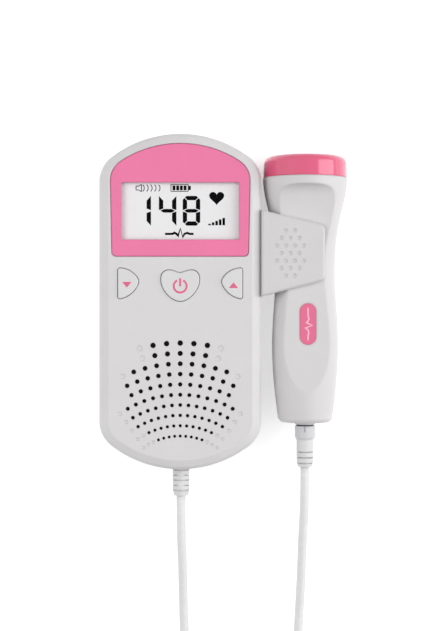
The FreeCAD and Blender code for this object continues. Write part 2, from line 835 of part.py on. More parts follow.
def battery_cell(side):
    """Plus end to the top on the right, and to the foot on the left."""
    x = side * cell_spacing / 2
    up = side > 0
    if up:
        foot = bay_foot_y + contact_thickness + spring_length
        nub_foot = foot + cell_length
    else:
        foot = bay_foot_y + contact_thickness + cell_nub_length
        nub_foot = foot - cell_nub_length
    can = rod((x, foot, cell_height), cell_radius, cell_length, (0, 1, 0))
    rims = [e for e in can.Edges if e.Curve.TypeId == "Part::GeomCircle"]
    can = can.makeChamfer(cell_rim_cut, rims)
    nub = rod((x, nub_foot, cell_height), cell_nub_radius, cell_nub_length, (0, 1, 0))
    return fused([can, nub])


def battery_contacts():
    """A flat plate at each end of each cell, inside the bay."""
    plates = []
    half = cell_radius - 1.0
    for x in (-cell_spacing / 2, cell_spacing / 2):
        for foot in (bay_foot_y, bay_top_y - contact_thickness):
            plates.append(block((x - half, foot, cell_height - half),
                                (x + half, foot + contact_thickness, cell_height + half)))
    return Part.makeCompound(plates)


def leaf_spring():
    """A strip bent like a hat: two tabs on the plate and a crest against the cell."""
    t = spring_sheet
    toe = spring_half_length - spring_tab
    slope = (spring_length - t) / (toe - spring_crest)
    shift = (math.hypot(1, slope) * t - t) / slope
    right_top = [(spring_crest, spring_length), (toe, t), (spring_half_length, t)]
    right_foot = [(spring_half_length, 0), (toe - shift, 0),
                  (spring_crest - shift, spring_length - t)]
    right = right_top + right_foot
    outline = right + [(-x, y) for x, y in reversed(right)]
    strip = slab(Part.makePolygon([Vector(x, y, 0) for x, y in outline + outline[:1]]),
                 -spring_width / 2, spring_width / 2)
    return strip


def battery_springs():
    """A leaf spring at the flat end of each cell."""
    right = leaf_spring()
    right.translate(Vector(cell_spacing / 2, bay_foot_y + contact_thickness, cell_height))
    left = leaf_spring().mirror(Vector(0, 0, 0), Vector(0, 1, 0))
    left.translate(Vector(-cell_spacing / 2, bay_top_y - contact_thickness, cell_height))
    return Part.makeCompound([right, left])


def headphone_jack():
    left = -unit_width / 2
    nose = rod((left, jack_y, jack_height), jack_nose_radius, wall + 0.5, (1, 0, 0))
    start = left + wall + 0.1
    body = block((start, jack_y - jack_body_width / 2, jack_height - jack_body_height / 2),
                 (start + jack_body_length, jack_y + jack_body_width / 2,
                  jack_height + jack_body_height / 2))
    bore = rod((left - 1, jack_y, jack_height), jack_bore_radius, jack_bore_depth + 1, (1, 0, 0))
    return fused([nose, body]).cut(bore)


# ---- strain reliefs ------------------------------------------------------------------
def tapered_rod(root, radius, tip_radius, length, taper):
    """A round rod that runs to -Y and narrows over its last stretch."""
    straight = length - taper
    tip = (root[0], root[1] - straight, root[2])
    return fused([rod(root, radius, straight, (0, -1, 0)),
                  frustum(tip, radius, tip_radius, taper, (0, -1, 0))])


def half_ring(centre, axis_up, outer, inner, thickness, from_angle, sweep):
    """Part of a ring about the Y direction at centre, for the slots of a strain relief."""
    ring = Part.makeCylinder(outer, thickness, Vector(0, 0, 0), Vector(0, 0, 1), sweep)
    core = Part.makeCylinder(inner, thickness)
    piece = ring.cut(core)
    piece.rotate(Vector(0, 0, 0), Vector(0, 0, 1), from_angle)
    piece.Placement = FreeCAD.Placement(
        Vector(*centre), FreeCAD.Rotation(Vector(0, 0, 1), Vector(*axis_up))).multiply(
            piece.Placement)
    return piece


def unit_strain_relief():
    """A moulded relief with slots that alternate round it, held by a neck and a flange."""
    root = (0, unit_foot_y, parting_height)
    inside_face = unit_foot_y + wall + relief_flange_gap
    body = tapered_rod(root, relief_radius, relief_tip_radius, relief_length, relief_taper)
    neck = rod((0, unit_foot_y - 0.5, parting_height), relief_neck_radius,
               wall + 1.5, (0, 1, 0))
    flange = rod((0, inside_face, parting_height), relief_flange_radius,
                 relief_flange_thickness, (0, 1, 0))
    slots = []
    pitch = (relief_length - 1.6) / relief_slot_count
    for i in range(relief_slot_count):
        y = unit_foot_y - relief_first_slot - i * pitch
        turn = 0 if i % 2 == 0 else 90
        for side in (0, 180):
            slots.append(half_ring((0, y, parting_height), (0, -1, 0), relief_radius + 1,
                                   relief_radius - relief_slot_depth, relief_slot_width,
                                   turn + side + 90 - relief_slot_sweep / 2, relief_slot_sweep))
    return fused([body, neck, flange]).cut(slots)


def probe_collar():
    """The ferrule at the probe's tail, with a shadow groove and a key slot."""
    root = (probe_x, probe_tail_y, probe_height)
    body = tapered_rod(root, collar_radius, collar_tip_radius, collar_length, collar_taper)
    groove_y = probe_tail_y - 1.1
    groove = half_ring((probe_x, groove_y, probe_height), (0, -1, 0), collar_radius + 1,
                       collar_radius - collar_groove, collar_groove, 0, 360)
    key = block((probe_x - 0.55, groove_y - 3.0, probe_height + collar_radius - 0.5),
                (probe_x - 0.1, groove_y, probe_height + collar_radius + 1))
    tenon = rod(root, collar_tenon_radius, probe_wall + collar_tenon_stand, (0, 1, 0))
    return fused([body, tenon]).cut([groove, key])


def probe_boot():
    root = (probe_x, collar_foot_y, probe_height)
    body = tapered_rod(root, boot_radius, boot_tip_radius, boot_length, boot_taper)
    grooves = []
    for i in range(boot_groove_count):
        y = boot_foot_y + boot_first_groove + i * boot_groove_pitch
        for side in (0, 180):
            grooves.append(half_ring((probe_x, y, probe_height), (0, 1, 0), boot_radius + 1,
                                     boot_tip_radius - boot_groove_depth, boot_groove_width,
                                     side + 90 - relief_slot_sweep / 2, relief_slot_sweep))
    return body.cut(grooves)


# ---- probe ---------------------------------------------------------------------------
def to_probe(shape):
    """From the probe's own place, axis along Y through the origin, to its place in the clip."""
    moved = shape.copy()
    moved.translate(Vector(probe_x, 0, probe_height))
    return moved


def probe_turned(inset, foot_y, top_y):
    """The waisted body, turned about the axis and moved inwards, between two heights."""
    curve = Part.BSplineCurve()
    curve.interpolate([Vector(r - inset, y, 0) for y, r in probe_profile])
    (top_end, top_radius), (foot_end, foot_radius) = probe_profile[0], probe_profile[-1]
    tail_radius = foot_radius - inset - probe_tail_cut
    section = Part.Wire([
        line((0, top_end, 0), (top_radius - inset, top_end, 0)), curve.toShape(),
        line((foot_radius - inset, foot_end, 0), (tail_radius, probe_tail_y, 0)),
        line((tail_radius, probe_tail_y, 0), (0, probe_tail_y, 0)),
        line((0, probe_tail_y, 0), (0, top_end, 0)),
    ])
    solid = Part.Face(section).revolve(Vector(0, 0, 0), Vector(0, 1, 0), 360)
    reach = 3 * cap_rim_radius
    return solid.common(block((-reach, foot_y, -reach), (reach, top_y, reach)))


def facet_cutter(inset):
    """What a grip facet takes off: a flat floor that bends up and out at both ends."""
    reach = 2 * cap_rim_radius

    def swing(centre, radius, turn):
        return (0, centre[0] + (radius + inset) * math.sin(turn),
                centre[1] - (radius + inset) * math.cos(turn))

    rise_turn = math.asin((facet_rise_end_y - facet_flat_top_y) / facet_rise_radius)
    rise = (facet_flat_top_y, facet_depth + facet_rise_radius)
    step = facet_rise_radius - facet_end_radius
    end = (rise[0] + step * math.sin(rise_turn), rise[1] - step * math.cos(rise_turn))
    end_turn = math.radians(88)
    foot = (facet_flat_foot_y, facet_depth + facet_foot_radius)
    foot_turn = -math.radians(24)
    head_end = swing(end, facet_end_radius, end_turn)
    tail_end = swing(foot, facet_foot_radius, foot_turn)
    flat_top = (0, facet_flat_top_y, facet_depth - inset)
    flat_foot = (0, facet_flat_foot_y, facet_depth - inset)
    section = Part.Wire([
        arc(head_end, swing(end, facet_end_radius, (end_turn + rise_turn) / 2),
            swing(end, facet_end_radius, rise_turn)),
        arc(swing(end, facet_end_radius, rise_turn), swing(rise, facet_rise_radius, rise_turn / 2),
            flat_top),
        line(flat_top, flat_foot),
        arc(flat_foot, swing(foot, facet_foot_radius, foot_turn / 2), tail_end),
        line(tail_end, (0, tail_end[1], reach)),
        line((0, tail_end[1], reach), (0, head_end[1], reach)),
        line((0, head_end[1], reach), head_end),
    ])
    cutter = Part.Face(section).extrude(Vector(2 * reach, 0, 0))
    cutter.translate(Vector(-reach, 0, 0))
    return cutter


def faceted_body(inset, foot_y, top_y):
    front = facet_cutter(inset)
    back = front.mirror(Vector(0, 0, 0), Vector(0, 0, 1))
    return probe_turned(inset, foot_y, top_y).cut([front, back])


def probe_hollow():
    """Stepped bores: the tail, the grip between the facets, the head and the cap's seat."""
    flat = facet_depth - probe_wall
    foot = probe_tail_y + probe_wall
    mouth = probe_profile[0][1] - probe_wall
    head = mouth - probe_wall
    grip = rod((0, probe_grip_foot_y, 0), probe_grip_bore, probe_grip_top_y - probe_grip_foot_y,
               (0, 1, 0))
    reach = 2 * probe_grip_bore
    keep = block((-reach, probe_grip_foot_y, -flat), (reach, probe_seam_y, flat))
    return fused([
        rod((0, foot, 0), probe_tail_bore, probe_grip_foot_y - foot, (0, 1, 0)),
        grip.common(keep),
        rod((0, probe_grip_top_y, 0), head, probe_seam_y - probe_grip_top_y, (0, 1, 0)).common(
            faceted_body(probe_wall, probe_tail_y, probe_seam_y)),
        rod((0, probe_seam_y - probe_mouth_depth, 0), mouth, probe_mouth_depth, (0, 1, 0)),
    ])


def probe_shell_blank():
    """The hollow body, open at the head, with a hole for the collar's tenon at the tail."""
    tenon = rod((0, probe_tail_y - 1, 0), collar_tenon_radius + screw_slack, probe_wall + 2,
                (0, 1, 0))
    return faceted_body(0, probe_tail_y, probe_seam_y).cut([probe_hollow(), tenon])


def half_of(shape, side):
    reach = 2 * probe_seam_y
    low, high = (0, reach) if side > 0 else (-reach, 0)
    return shape.common(block((-reach, -reach, low), (reach, reach, high)))


def pill(length, width, foot, top):
    """A round-ended plate along the probe, on the place of its label."""
    wire = rounded_rectangle((label_centre_x, label_centre_y), width, length, 0.499 * width)
    return slab(wire, foot, top)


def board_level(y):
    """How far the front boss stays off the seam, where it clamps the probe's board."""
    return probe_board_thickness if probe_board_foot_y < y < probe_board_top_y else 0.0


def probe_front_shell():
    shell = half_of(probe_shell_blank(), 1)
    bosses = [rod((0, y, board_level(y)), probe_boss_radius, cap_rim_radius)
              .common(faceted_body(probe_wall / 2, probe_tail_y, probe_seam_y))
              for y in probe_screw_y]
    holes = [rod((0, y, -1), screw_radius + screw_slack,
                 probe_screw_length - probe_screw_seat + 1.5) for y in probe_screw_y]
    shell = fused([shell] + bosses)
    recess = pill(label_length + fit_gap, label_width + fit_gap, facet_depth - label_depth,
                  facet_depth + 5)
    return shell.cut(holes + [recess]).removeSplitter()


def probe_rear_shell():
    shell = half_of(probe_shell_blank(), -1)
    bosses = [rod((0, y, -cap_rim_radius), probe_boss_radius, cap_rim_radius)
              .common(faceted_body(probe_wall / 2, probe_tail_y, probe_seam_y))
              for y in probe_screw_y]
    cutters = []
    for y in probe_screw_y:
        cutters.append(rod((0, y, -cap_rim_radius), screw_head_radius + recess_clearance,
                           cap_rim_radius - probe_screw_seat))
        cutters.append(rod((0, y, -probe_screw_seat - 1), screw_radius + screw_clearance,
                           probe_screw_seat + 2))
    return fused([shell] + bosses).cut(cutters).removeSplitter()


def probe_screws():
    return Part.makeCompound([
        screw((0, y, -probe_screw_seat), (0, 0, 1), screw_radius, probe_screw_length)
        for y in probe_screw_y])


def probe_label():
    return pill(label_length, label_width, facet_depth - label_depth, facet_depth + label_rise)


def cap_corner():
    """Places (distance from the axis, height) round the cap's corner, from its flat end."""
    flat = cap_rim_radius - cap_corner_radius
    side_top = cap_top_y - cap_corner_radius
    turns = [math.pi / 2 * i / cap_corner_steps for i in range(cap_corner_steps + 1)]
    return [(flat + cap_corner_radius * math.sin(t), side_top + cap_corner_radius * math.cos(t))
            for t in turns]


def probe_cap():
    """The coloured head: a cup with a round opening for the acoustic window and a spigot."""
    back = cap_top_y - cap_wall
    lip = probe_profile[0][1] - probe_wall - fit_gap
    bore = lip - cap_spigot_wall
    spigot_foot = probe_seam_y - cap_spigot_length
    section = [(window_radius, back), (window_radius, cap_top_y)] + cap_corner()
    section += [(cap_rim_radius, probe_seam_y), (lip, probe_seam_y), (lip, spigot_foot),
                (bore, spigot_foot), (bore, back)]
    corners = [Vector(r, y, 0) for r, y in section + section[:1]]
    return Part.Face(Part.makePolygon(corners)).revolve(Vector(0, 0, 0), Vector(0, 1, 0), 360)


def probe_window():
    """The acoustic window: a slightly domed disc with a flange behind the cap's rim."""
    flat = cap_rim_radius - cap_corner_radius
    ball = (flat ** 2 + cap_dome ** 2) / (2 * cap_dome)
    back = cap_top_y - cap_wall
    disc = rod((0, back, 0), window_radius - fit_gap, cap_wall + 2 * cap_dome, (0, 1, 0))
    disc = disc.common(Part.makeSphere(ball, Vector(0, cap_top_y + cap_dome - ball, 0)))
    flange = rod((0, back - crystal_thickness, 0), window_radius + window_flange,
                 crystal_thickness, (0, 1, 0))
    return fused([disc, flange])


def crystal_top_y():
    return cap_top_y - cap_wall - crystal_thickness


def crystal(side):
    """One half-round plate: the one at the right sends, the one at the left listens."""
    disc = rod((0, crystal_top_y() - crystal_thickness, 0), crystal_radius, crystal_thickness,
               (0, 1, 0))
    reach = 2 * crystal_radius
    low, high = (crystal_split / 2, reach) if side > 0 else (-reach, -crystal_split / 2)
    return disc.common(block((low, 0, -reach), (high, cap_top_y, reach)))


def crystal_backing():
    return rod((0, crystal_top_y() - crystal_thickness - backing_thickness, 0), backing_radius,
               backing_thickness, (0, 1, 0))


def probe_board():
    board = block((-probe_board_half_width, probe_board_foot_y, 0),
                  (probe_board_half_width, probe_board_top_y, probe_board_thickness))
    holes = [rod((0, y, -1), screw_radius + screw_clearance, probe_board_thickness + 2)
             for y in probe_screw_y]
    return board.cut(holes)


# ---- probe holder --------------------------------------------------------------------
def holder_profile():
    """The clip seen along Y: a base against the unit and two arms round the probe."""
    inner = facet_depth + holder_clearance
    outer = inner + holder_arm_thickness
    left = unit_width / 2
    right = holder_tip_x + 1
    far = holder_tip_x + 5
    body = block((left, 0, probe_height - outer), (right, 1, probe_height + outer))
    gap = block((left + holder_base_thickness, 0, probe_height - inner),
                (far, 1, probe_height + inner))
    inner_edges = [e for e in gap.Edges if e.BoundBox.YLength > 0.5
                   and e.BoundBox.XMax < left + holder_base_thickness + 0.1]
    gap = gap.makeFillet(holder_inner_radius, inner_edges)
    outer_edges = [e for e in body.Edges if e.BoundBox.YLength > 0.5
                   and e.BoundBox.XMax < left + 0.1]
    body = body.makeChamfer(holder_edge_cut, outer_edges)
    return body.cut(gap)


def probe_holder():
    profile = holder_profile()
    front = [f for f in profile.Faces if abs(f.BoundBox.YMax) < 0.01][0]
    run = unit_length
    bar = front.extrude(Vector(0, run, 0))
    bar.translate(Vector(0, -run / 2, 0))
    left = unit_width / 2
    corners = [(left, holder_root_foot_y), (holder_tip_x, holder_tip_foot_y),
               (holder_tip_x, holder_tip_top_y), (left, holder_root_top_y)]
    outline = Part.makePolygon([Vector(x, y, 0) for x, y in corners + corners[:1]])
    plate = slab(outline, -unit_depth, 2 * unit_depth)
    tips = [e for e in plate.Edges if e.BoundBox.ZLength > unit_depth
            and e.BoundBox.XMin > holder_tip_x - 0.1]
    plate = plate.makeFillet(holder_corner_radius, tips)
    clip = bar.common(plate)
    top = probe_height + facet_depth + holder_clearance + holder_arm_thickness
    low = probe_height - facet_depth - holder_clearance - holder_arm_thickness
    rims = [e for level in (top, low) for e in edges_at_height(clip, level)
            if e.BoundBox.XMax > left + 2 * holder_edge_cut]
    clip = clip.makeChamfer(holder_edge_cut, rims)
    cutters = [rod((left - 1, y, probe_height), screw_radius + screw_slack,
                   holder_base_thickness + 2, (1, 0, 0)) for y in holder_screw_y]
    return clip.cut(cutters + holder_dimples(top)).removeSplitter()


def holder_dimples(top):
    """Shallow round pits in rows that form a hexagon."""
    cutters = []
    rows = len(holder_dimple_rows)
    for i, count in enumerate(holder_dimple_rows):
        y = holder_dimple_centre[1] + ((rows - 1) / 2 - i) * holder_dimple_pitch_y
        for k in range(count):
            x = holder_dimple_centre[0] + (k - (count - 1) / 2) * holder_dimple_pitch_x
            cutters.append(flat_sided_rod((x, y), dimple_radius, top - holder_dimple_depth,
                                          top + 1))
    return cutters


def holder_screws():
    return Part.makeCompound([
        screw((unit_width / 2 - wall, y, probe_height), (1, 0, 0), screw_radius,
              holder_screw_length) for y in holder_screw_y])


# ---- cord ----------------------------------------------------------------------------
def cord_path(points, name):
    """Straight runs with an arc at each corner, as large as the two runs allow."""
    places = [Vector(*p) for p in points]
    edges = []
    start = places[0]
    length = 0.0
    for before, corner, after in zip(places, places[1:], places[2:]):
        back = (before - corner).normalize()
        ahead = (after - corner).normalize()
        turn = math.pi - back.getAngle(ahead)
        reach = cord_arc_share * min((before - corner).Length, (after - corner).Length)
        radius = reach / math.tan(turn / 2)
        a = corner + back * reach
        b = corner + ahead * reach
        middle_way = (back + ahead).normalize()
        middle = corner + middle_way * (radius / math.cos(turn / 2) - radius)
        edges.append(Part.LineSegment(start, a).toShape())
        edges.append(Part.Arc(a, middle, b).toShape())
        length += (a - start).Length + radius * turn
        start = b
        print("%s: radius %.0f mm, turn %.1f degrees" % (name, radius, math.degrees(turn)))
    edges.append(Part.LineSegment(start, places[-1]).toShape())
    length += (places[-1] - start).Length
    return Part.Wire(edges), length


def cord_tube(points, name):
    path, length = cord_path(points, name)
    first = Vector(*points[1]) - Vector(*points[0])
    ring = Part.Wire(Part.makeCircle(cord_radius, Vector(*points[0]), first))
    tube = path.makePipeShell([ring], True, True)
    print("%s: length %.1f mm, volume %.0f, section times length %.0f" % (
        name, length, tube.Volume, math.pi * cord_radius ** 2 * length))
    return tube


def coil_section(grow, foot, top):
    """The wound turns seen in section, as a ring round the coil's middle."""
    half = coil_band_width / 2 + grow
    outer = rod((coil_centre[0], coil_centre[1], foot), coil_radius + half, top - foot)
    inner = rod((coil_centre[0], coil_centre[1], foot - 1), coil_radius - half, top - foot + 2)
    return outer.cut(inner)


def cord_coil():
    """The outer shape of the wound turns: a plain ring."""
    return coil_section(0, coil_foot, coil_foot + coil_height)


def cord_tie():
    """A flat band round the wound turns, on the side away from the unit."""
    grow = tie_clearance + tie_thickness
    top = coil_foot + coil_height
    band = coil_section(grow, coil_foot - grow, top + grow)
    band = band.cut(coil_section(tie_clearance, coil_foot - tie_clearance, top + tie_clearance))
    wedge = Part.makeCylinder(2 * coil_radius, 4 * coil_height,
                              Vector(coil_centre[0], coil_centre[1], -coil_height),
                              Vector(0, 0, 1), tie_angle)
    wedge.rotate(Vector(coil_centre[0], coil_centre[1], 0), Vector(0, 0, 1),
                 270 - tie_angle / 2)
    return band.common(wedge)


def export(name, shape):
    shape.exportStep(os.path.join("parts", name + ".step"))
    box = shape.optimalBoundingBox()
    print("%-22s solids %2d  valid %s  volume %9.1f  x %.1f..%.1f y %.1f..%.1f z %.1f..%.1f" % (
        name, len(shape.Solids), shape.isValid(), shape.Volume, box.XMin, box.XMax, box.YMin,
        box.YMax, box.ZMin, box.ZMax))


def all_parts():
    parts = {
        "front_cover": front_cover(), "rear_cover": rear_cover(),
        "battery_door": battery_door(), "display_bezel": display_bezel(),
        "display_window": display_window(), "lcd_panel": lcd_panel(),
        "lcd_frame": lcd_frame(), "main_board": main_board(), "board_chips": board_chips(),
        "board_screws": board_screws(), "housing_screws": housing_screws(),
        "tact_switches": tact_switches(), "speaker_cloth": speaker_cloth(),
        "speaker_frame": speaker_frame(), "speaker_cone": speaker_cone(),
        "speaker_magnet": speaker_magnet(), "battery_cell_left": battery_cell(-1),
        "battery_cell_right": battery_cell(1), "battery_contacts": battery_contacts(),
        "battery_springs": battery_springs(), "headphone_jack": headphone_jack(),
        "unit_strain_relief": unit_strain_relief(), "probe_holder": probe_holder(),
        "holder_screws": holder_screws(),
        "probe_front_shell": to_probe(probe_front_shell()),
        "probe_rear_shell": to_probe(probe_rear_shell()),
        "probe_screws": to_probe(probe_screws()), "probe_label": to_probe(probe_label()),
        "probe_cap": to_probe(probe_cap()), "probe_window": to_probe(probe_window()),
        "crystal_transmit": to_probe(crystal(1)), "crystal_receive": to_probe(crystal(-1)),
        "crystal_backing": to_probe(crystal_backing()), "probe_board": to_probe(probe_board()),
        "probe_collar": probe_collar(), "probe_boot": probe_boot(),
        "cord_unit_run": cord_tube(unit_cord_points, "cord_unit_run"),
        "cord_probe_run": cord_tube(probe_cord_points, "cord_probe_run"),
        "cord_coil": cord_coil(), "cord_tie": cord_tie(),
    }
    for name in button_outlines():
        parts[name] = button(name)
    return parts


if __name__ == "__main__":
    os.makedirs("parts", exist_ok=True)
    for name, shape in all_parts().items():
        export(name, shape)
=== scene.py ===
import json
import math

import bmesh
import bpy
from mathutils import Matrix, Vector


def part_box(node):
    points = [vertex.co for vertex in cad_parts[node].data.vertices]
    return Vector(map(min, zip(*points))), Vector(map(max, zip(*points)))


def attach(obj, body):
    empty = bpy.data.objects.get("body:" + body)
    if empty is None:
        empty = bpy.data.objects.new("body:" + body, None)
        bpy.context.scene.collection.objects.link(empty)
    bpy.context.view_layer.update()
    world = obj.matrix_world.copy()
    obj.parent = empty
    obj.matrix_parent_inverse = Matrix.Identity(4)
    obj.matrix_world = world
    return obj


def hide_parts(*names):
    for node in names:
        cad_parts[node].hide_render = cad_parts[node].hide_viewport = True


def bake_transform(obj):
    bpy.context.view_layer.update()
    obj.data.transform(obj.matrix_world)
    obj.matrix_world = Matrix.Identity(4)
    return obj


# Hand-held fetal heartbeat monitor with its probe in the side holder. Lengths are written in
# millimetres in the part's frame, and mm() or MM turns them into metres.

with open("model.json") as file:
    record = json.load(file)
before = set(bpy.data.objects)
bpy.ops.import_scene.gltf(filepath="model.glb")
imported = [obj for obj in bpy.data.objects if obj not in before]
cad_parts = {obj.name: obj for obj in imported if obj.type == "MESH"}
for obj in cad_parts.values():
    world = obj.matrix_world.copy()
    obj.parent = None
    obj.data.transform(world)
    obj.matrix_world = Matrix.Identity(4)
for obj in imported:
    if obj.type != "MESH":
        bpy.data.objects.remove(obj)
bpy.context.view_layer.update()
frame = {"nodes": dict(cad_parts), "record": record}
MM = 0.001


def mm(x, y, z=0.0):
    return Vector((x, y, z)) * MM


# ---- camera ----------------------------------------------------------------------------
CAMERA_X = 12.29
CAMERA_Y = -5.71
CAMERA_HEIGHT = 610.0
FOCAL_PIXELS = 1430.8
PICTURE_HEIGHT = 631        # pixels, the longer side of the picture
SENSOR = 36.0
CLIP_START = 10.0

camera_data = bpy.data.cameras.new("camera")
camera_data.sensor_width = SENSOR
camera_data.lens = SENSOR * FOCAL_PIXELS / PICTURE_HEIGHT
camera_data.clip_start = CLIP_START * MM
camera = bpy.data.objects.new("camera", camera_data)
camera.location = mm(CAMERA_X, CAMERA_Y, CAMERA_HEIGHT)
bpy.context.scene.collection.objects.link(camera)
bpy.context.scene.camera = camera
bpy.context.scene.view_settings.view_transform = "Standard"


# ---- places taken from the frame -------------------------------------------------------
def corners(node):
    """The lowest and the highest corner of a node."""
    low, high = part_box(node)
    return low / MM, high / MM


relief_low, relief_high = corners("unit_strain_relief")
probe_low, probe_high = corners("probe_front_shell")
cap_low, cap_high = corners("probe_cap")
window_low, window_high = corners("probe_window")
pane_low, pane_high = corners("display_window")
label_low, label_high = corners("probe_label")
cell_low, cell_high = corners("battery_cell_left")

PROBE_X = (probe_low.x + probe_high.x) / 2
PROBE_Z = probe_low.z
RELIEF_TIP_Y = relief_low.y
RELIEF_Z = (relief_low.z + relief_high.z) / 2
BOOT_FOOT_Y = corners("probe_boot")[0].y
COLLAR_TOP_Y = corners("probe_collar")[1].y
LCD_TOP = corners("lcd_panel")[1].z


# ---- mesh helpers ----------------------------------------------------------------------
def add_object(name, mesh):
    """A new piece with this bmesh as its shape."""
    data = bpy.data.meshes.new(name)
    mesh.to_mesh(data)
    mesh.free()
    piece = bpy.data.objects.new(name, data)
    bpy.context.scene.collection.objects.link(piece)
    return piece


def dress(piece, body, material):
    """Puts the piece on its body, with its material."""
    piece.data.materials.clear()
    piece.data.materials.append(material)
    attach(piece, body)


def turns(count):
    """The angles that divide one turn into that many steps."""
    return [2 * math.pi * k / count for k in range(count)]


def skin(mesh, rings):
    """Faces between each ring of vertices and the next one."""
    for a, b in zip(rings, rings[1:]):
        for k in range(len(a)):
            after = (k + 1) % len(a)
            mesh.faces.new((a[k], a[after], b[after], b[k]))


def close_ends(mesh, rings):
    mesh.faces.new(list(reversed(rings[0])))
    mesh.faces.new(rings[-1])


# ---- cord ------------------------------------------------------------------------------
CORD_RADIUS = 1.9
CORD_SIDES = 20
ROUTE_STEPS = 6             # steps of the smooth line for each control point
COIL_CENTRE = (25.4, -172.0)
COIL_TURNS = 5.5
COIL_POINTS_PER_TURN = 24
COIL_OUTER_RING = 26.0
COIL_RING_PITCH = 3.8
COIL_LOW = 2.6
COIL_HIGH = 6.5
STEP_TURN = 0.15            # part of a turn in which the cord steps over to the next ring
STEPS_INWARDS = (0.8, 1.8)  # the turns at which those steps start, on the lower layer
STEPS_OUTWARDS = (3.45, 4.45, 5.45)     # and on the upper one
CLIMB = (2.6, 2.8)          # the turns between which the cord climbs to the upper layer

unit_run = [
    (0.0, RELIEF_TIP_Y, RELIEF_Z),
    (0.0, RELIEF_TIP_Y - 14.0, RELIEF_Z),
    (0.6, RELIEF_TIP_Y - 29.0, RELIEF_Z - 3.4),
    (0.8, RELIEF_TIP_Y - 46.0, 5.4),
    (1.5, RELIEF_TIP_Y - 64.0, 2.4),
]
probe_run = [
    (PROBE_X, BOOT_FOOT_Y, PROBE_Z),
    (PROBE_X, BOOT_FOOT_Y - 14.0, PROBE_Z),
    (PROBE_X - 0.7, BOOT_FOOT_Y - 30.0, PROBE_Z - 4.4),
    (PROBE_X - 1.0, BOOT_FOOT_Y - 48.0, 8.4),
    (PROBE_X - 1.7, BOOT_FOOT_Y - 66.0, 4.4),
    (PROBE_X - 2.8, BOOT_FOOT_Y - 83.0, 4.5),
]


def ramp(value, start, end):
    """How far the value has gone from start to end, from 0 to 1."""
    return min(1.0, max(0.0, (value - start) / (end - start)))


def coil_turns():
    """Two layers of three rings. Each turn steps over to the next ring at one place: inwards
    on the lower layer, then up, then outwards on the upper one."""
    places = []
    for i in range(int(COIL_TURNS * COIL_POINTS_PER_TURN) + 1):
        turn = i / COIL_POINTS_PER_TURN
        angle = math.pi + 2 * math.pi * turn
        inward = sum(ramp(turn, start, start + STEP_TURN) for start in STEPS_INWARDS)
        outward = sum(ramp(turn, start, start + STEP_TURN) for start in STEPS_OUTWARDS)
        ring = COIL_OUTER_RING - COIL_RING_PITCH * (inward - outward)
        level = COIL_LOW + (COIL_HIGH - COIL_LOW) * ramp(turn, *CLIMB)
        places.append((COIL_CENTRE[0] + ring * math.cos(angle),
                       COIL_CENTRE[1] + ring * math.sin(angle), level))
    return places


def nurbs_points(places, steps):
    """Points along the smooth line that has these places as its control points."""
    curve = bpy.data.curves.new("route", "CURVE")
    curve.dimensions = "3D"
    curve.resolution_u = steps
    spline = curve.splines.new("NURBS")
    spline.points.add(len(places) - 1)
    for point, place in zip(spline.points, places):
        point.co = (*mm(*place), 1.0)
    spline.order_u = 3
    spline.use_endpoint_u = True
    holder = bpy.data.objects.new("route", curve)
    bpy.context.scene.collection.objects.link(holder)
    bpy.context.view_layer.update()
    graph = bpy.context.evaluated_depsgraph_get()
    line = bpy.data.meshes.new_from_object(holder.evaluated_get(graph))
    points = [vertex.co.copy() for vertex in line.vertices]
    bpy.data.objects.remove(holder)
    bpy.data.meshes.remove(line)
    return points


def tube(name, points, radius, sides):
    """A round tube along a line of points. The points and the radius are in metres."""
    mesh = bmesh.new()
    rings = []
    normal = Vector((0, 0, 1))
    for i, point in enumerate(points):
        ahead = points[min(i + 1, len(points) - 1)] - points[max(i - 1, 0)]
        ahead.normalize()
        side = normal.cross(ahead).normalized()
        normal = ahead.cross(side).normalized()
        offsets = [side * math.cos(turn) + normal * math.sin(turn) for turn in turns(sides)]
        rings.append([mesh.verts.new(point + offset * radius) for offset in offsets])
    skin(mesh, rings)
    close_ends(mesh, rings)
    mesh.normal_update()
    for face in mesh.faces:
        face.smooth = len(face.verts) == 4
    return add_object(name, mesh)


route = unit_run + coil_turns() + list(reversed(probe_run))
cord_line = nurbs_points(route, ROUTE_STEPS)
cord = tube("cord", cord_line, CORD_RADIUS * MM, CORD_SIDES)


# ---- shader nodes ----------------------------------------------------------------------
NOISE_LOW = 0.3             # noise seldom leaves the range between these two
NOISE_HIGH = 0.7
BEVEL_SAMPLES = 8


def linear(red, green, blue):
    """A colour written as 0 to 255 screen values, as the shader's linear values. The numbers
    in it are those of the sRGB curve."""
    values = []
    for screen in (red / 255, green / 255, blue / 255):
        if screen <= 0.04045:
            values.append(screen / 12.92)
        else:
            values.append(((screen + 0.055) / 1.055) ** 2.4)
    return (*values, 1.0)


def shade(colour, amount):
    """The colour made darker, or lighter with an amount above 1."""
    return (*[channel * amount for channel in colour[:3]], 1.0)


def feed(tree, sockets, inputs):
    """Puts a value, or another node's output, into each of the inputs that are named."""
    for key, value in inputs.items():
        if isinstance(value, bpy.types.NodeSocket):
            tree.links.new(value, sockets[key])
        else:
            sockets[key].default_value = value


def add_node(tree, kind, inputs=None, **settings):
    """A new node with these settings and inputs."""
    made = tree.nodes.new(kind)
    for key, value in settings.items():
        setattr(made, key, value)
    feed(tree, made.inputs, inputs or {})
    return made


def calculate(tree, operation, *operands):
    """The result of a calculation with one or two operands, each a number or a node's
    output."""
    made = add_node(tree, "ShaderNodeMath", dict(enumerate(operands)), operation=operation)
    return made.outputs["Value"]


def rescale(tree, value, low, high, start=0.0):
    """A value that runs from start to 1, brought to the range from low to high."""
    made = add_node(tree, "ShaderNodeMapRange", {"Value": value, "From Min": start,
                                                 "To Min": low, "To Max": high})
    return made.outputs["Result"]


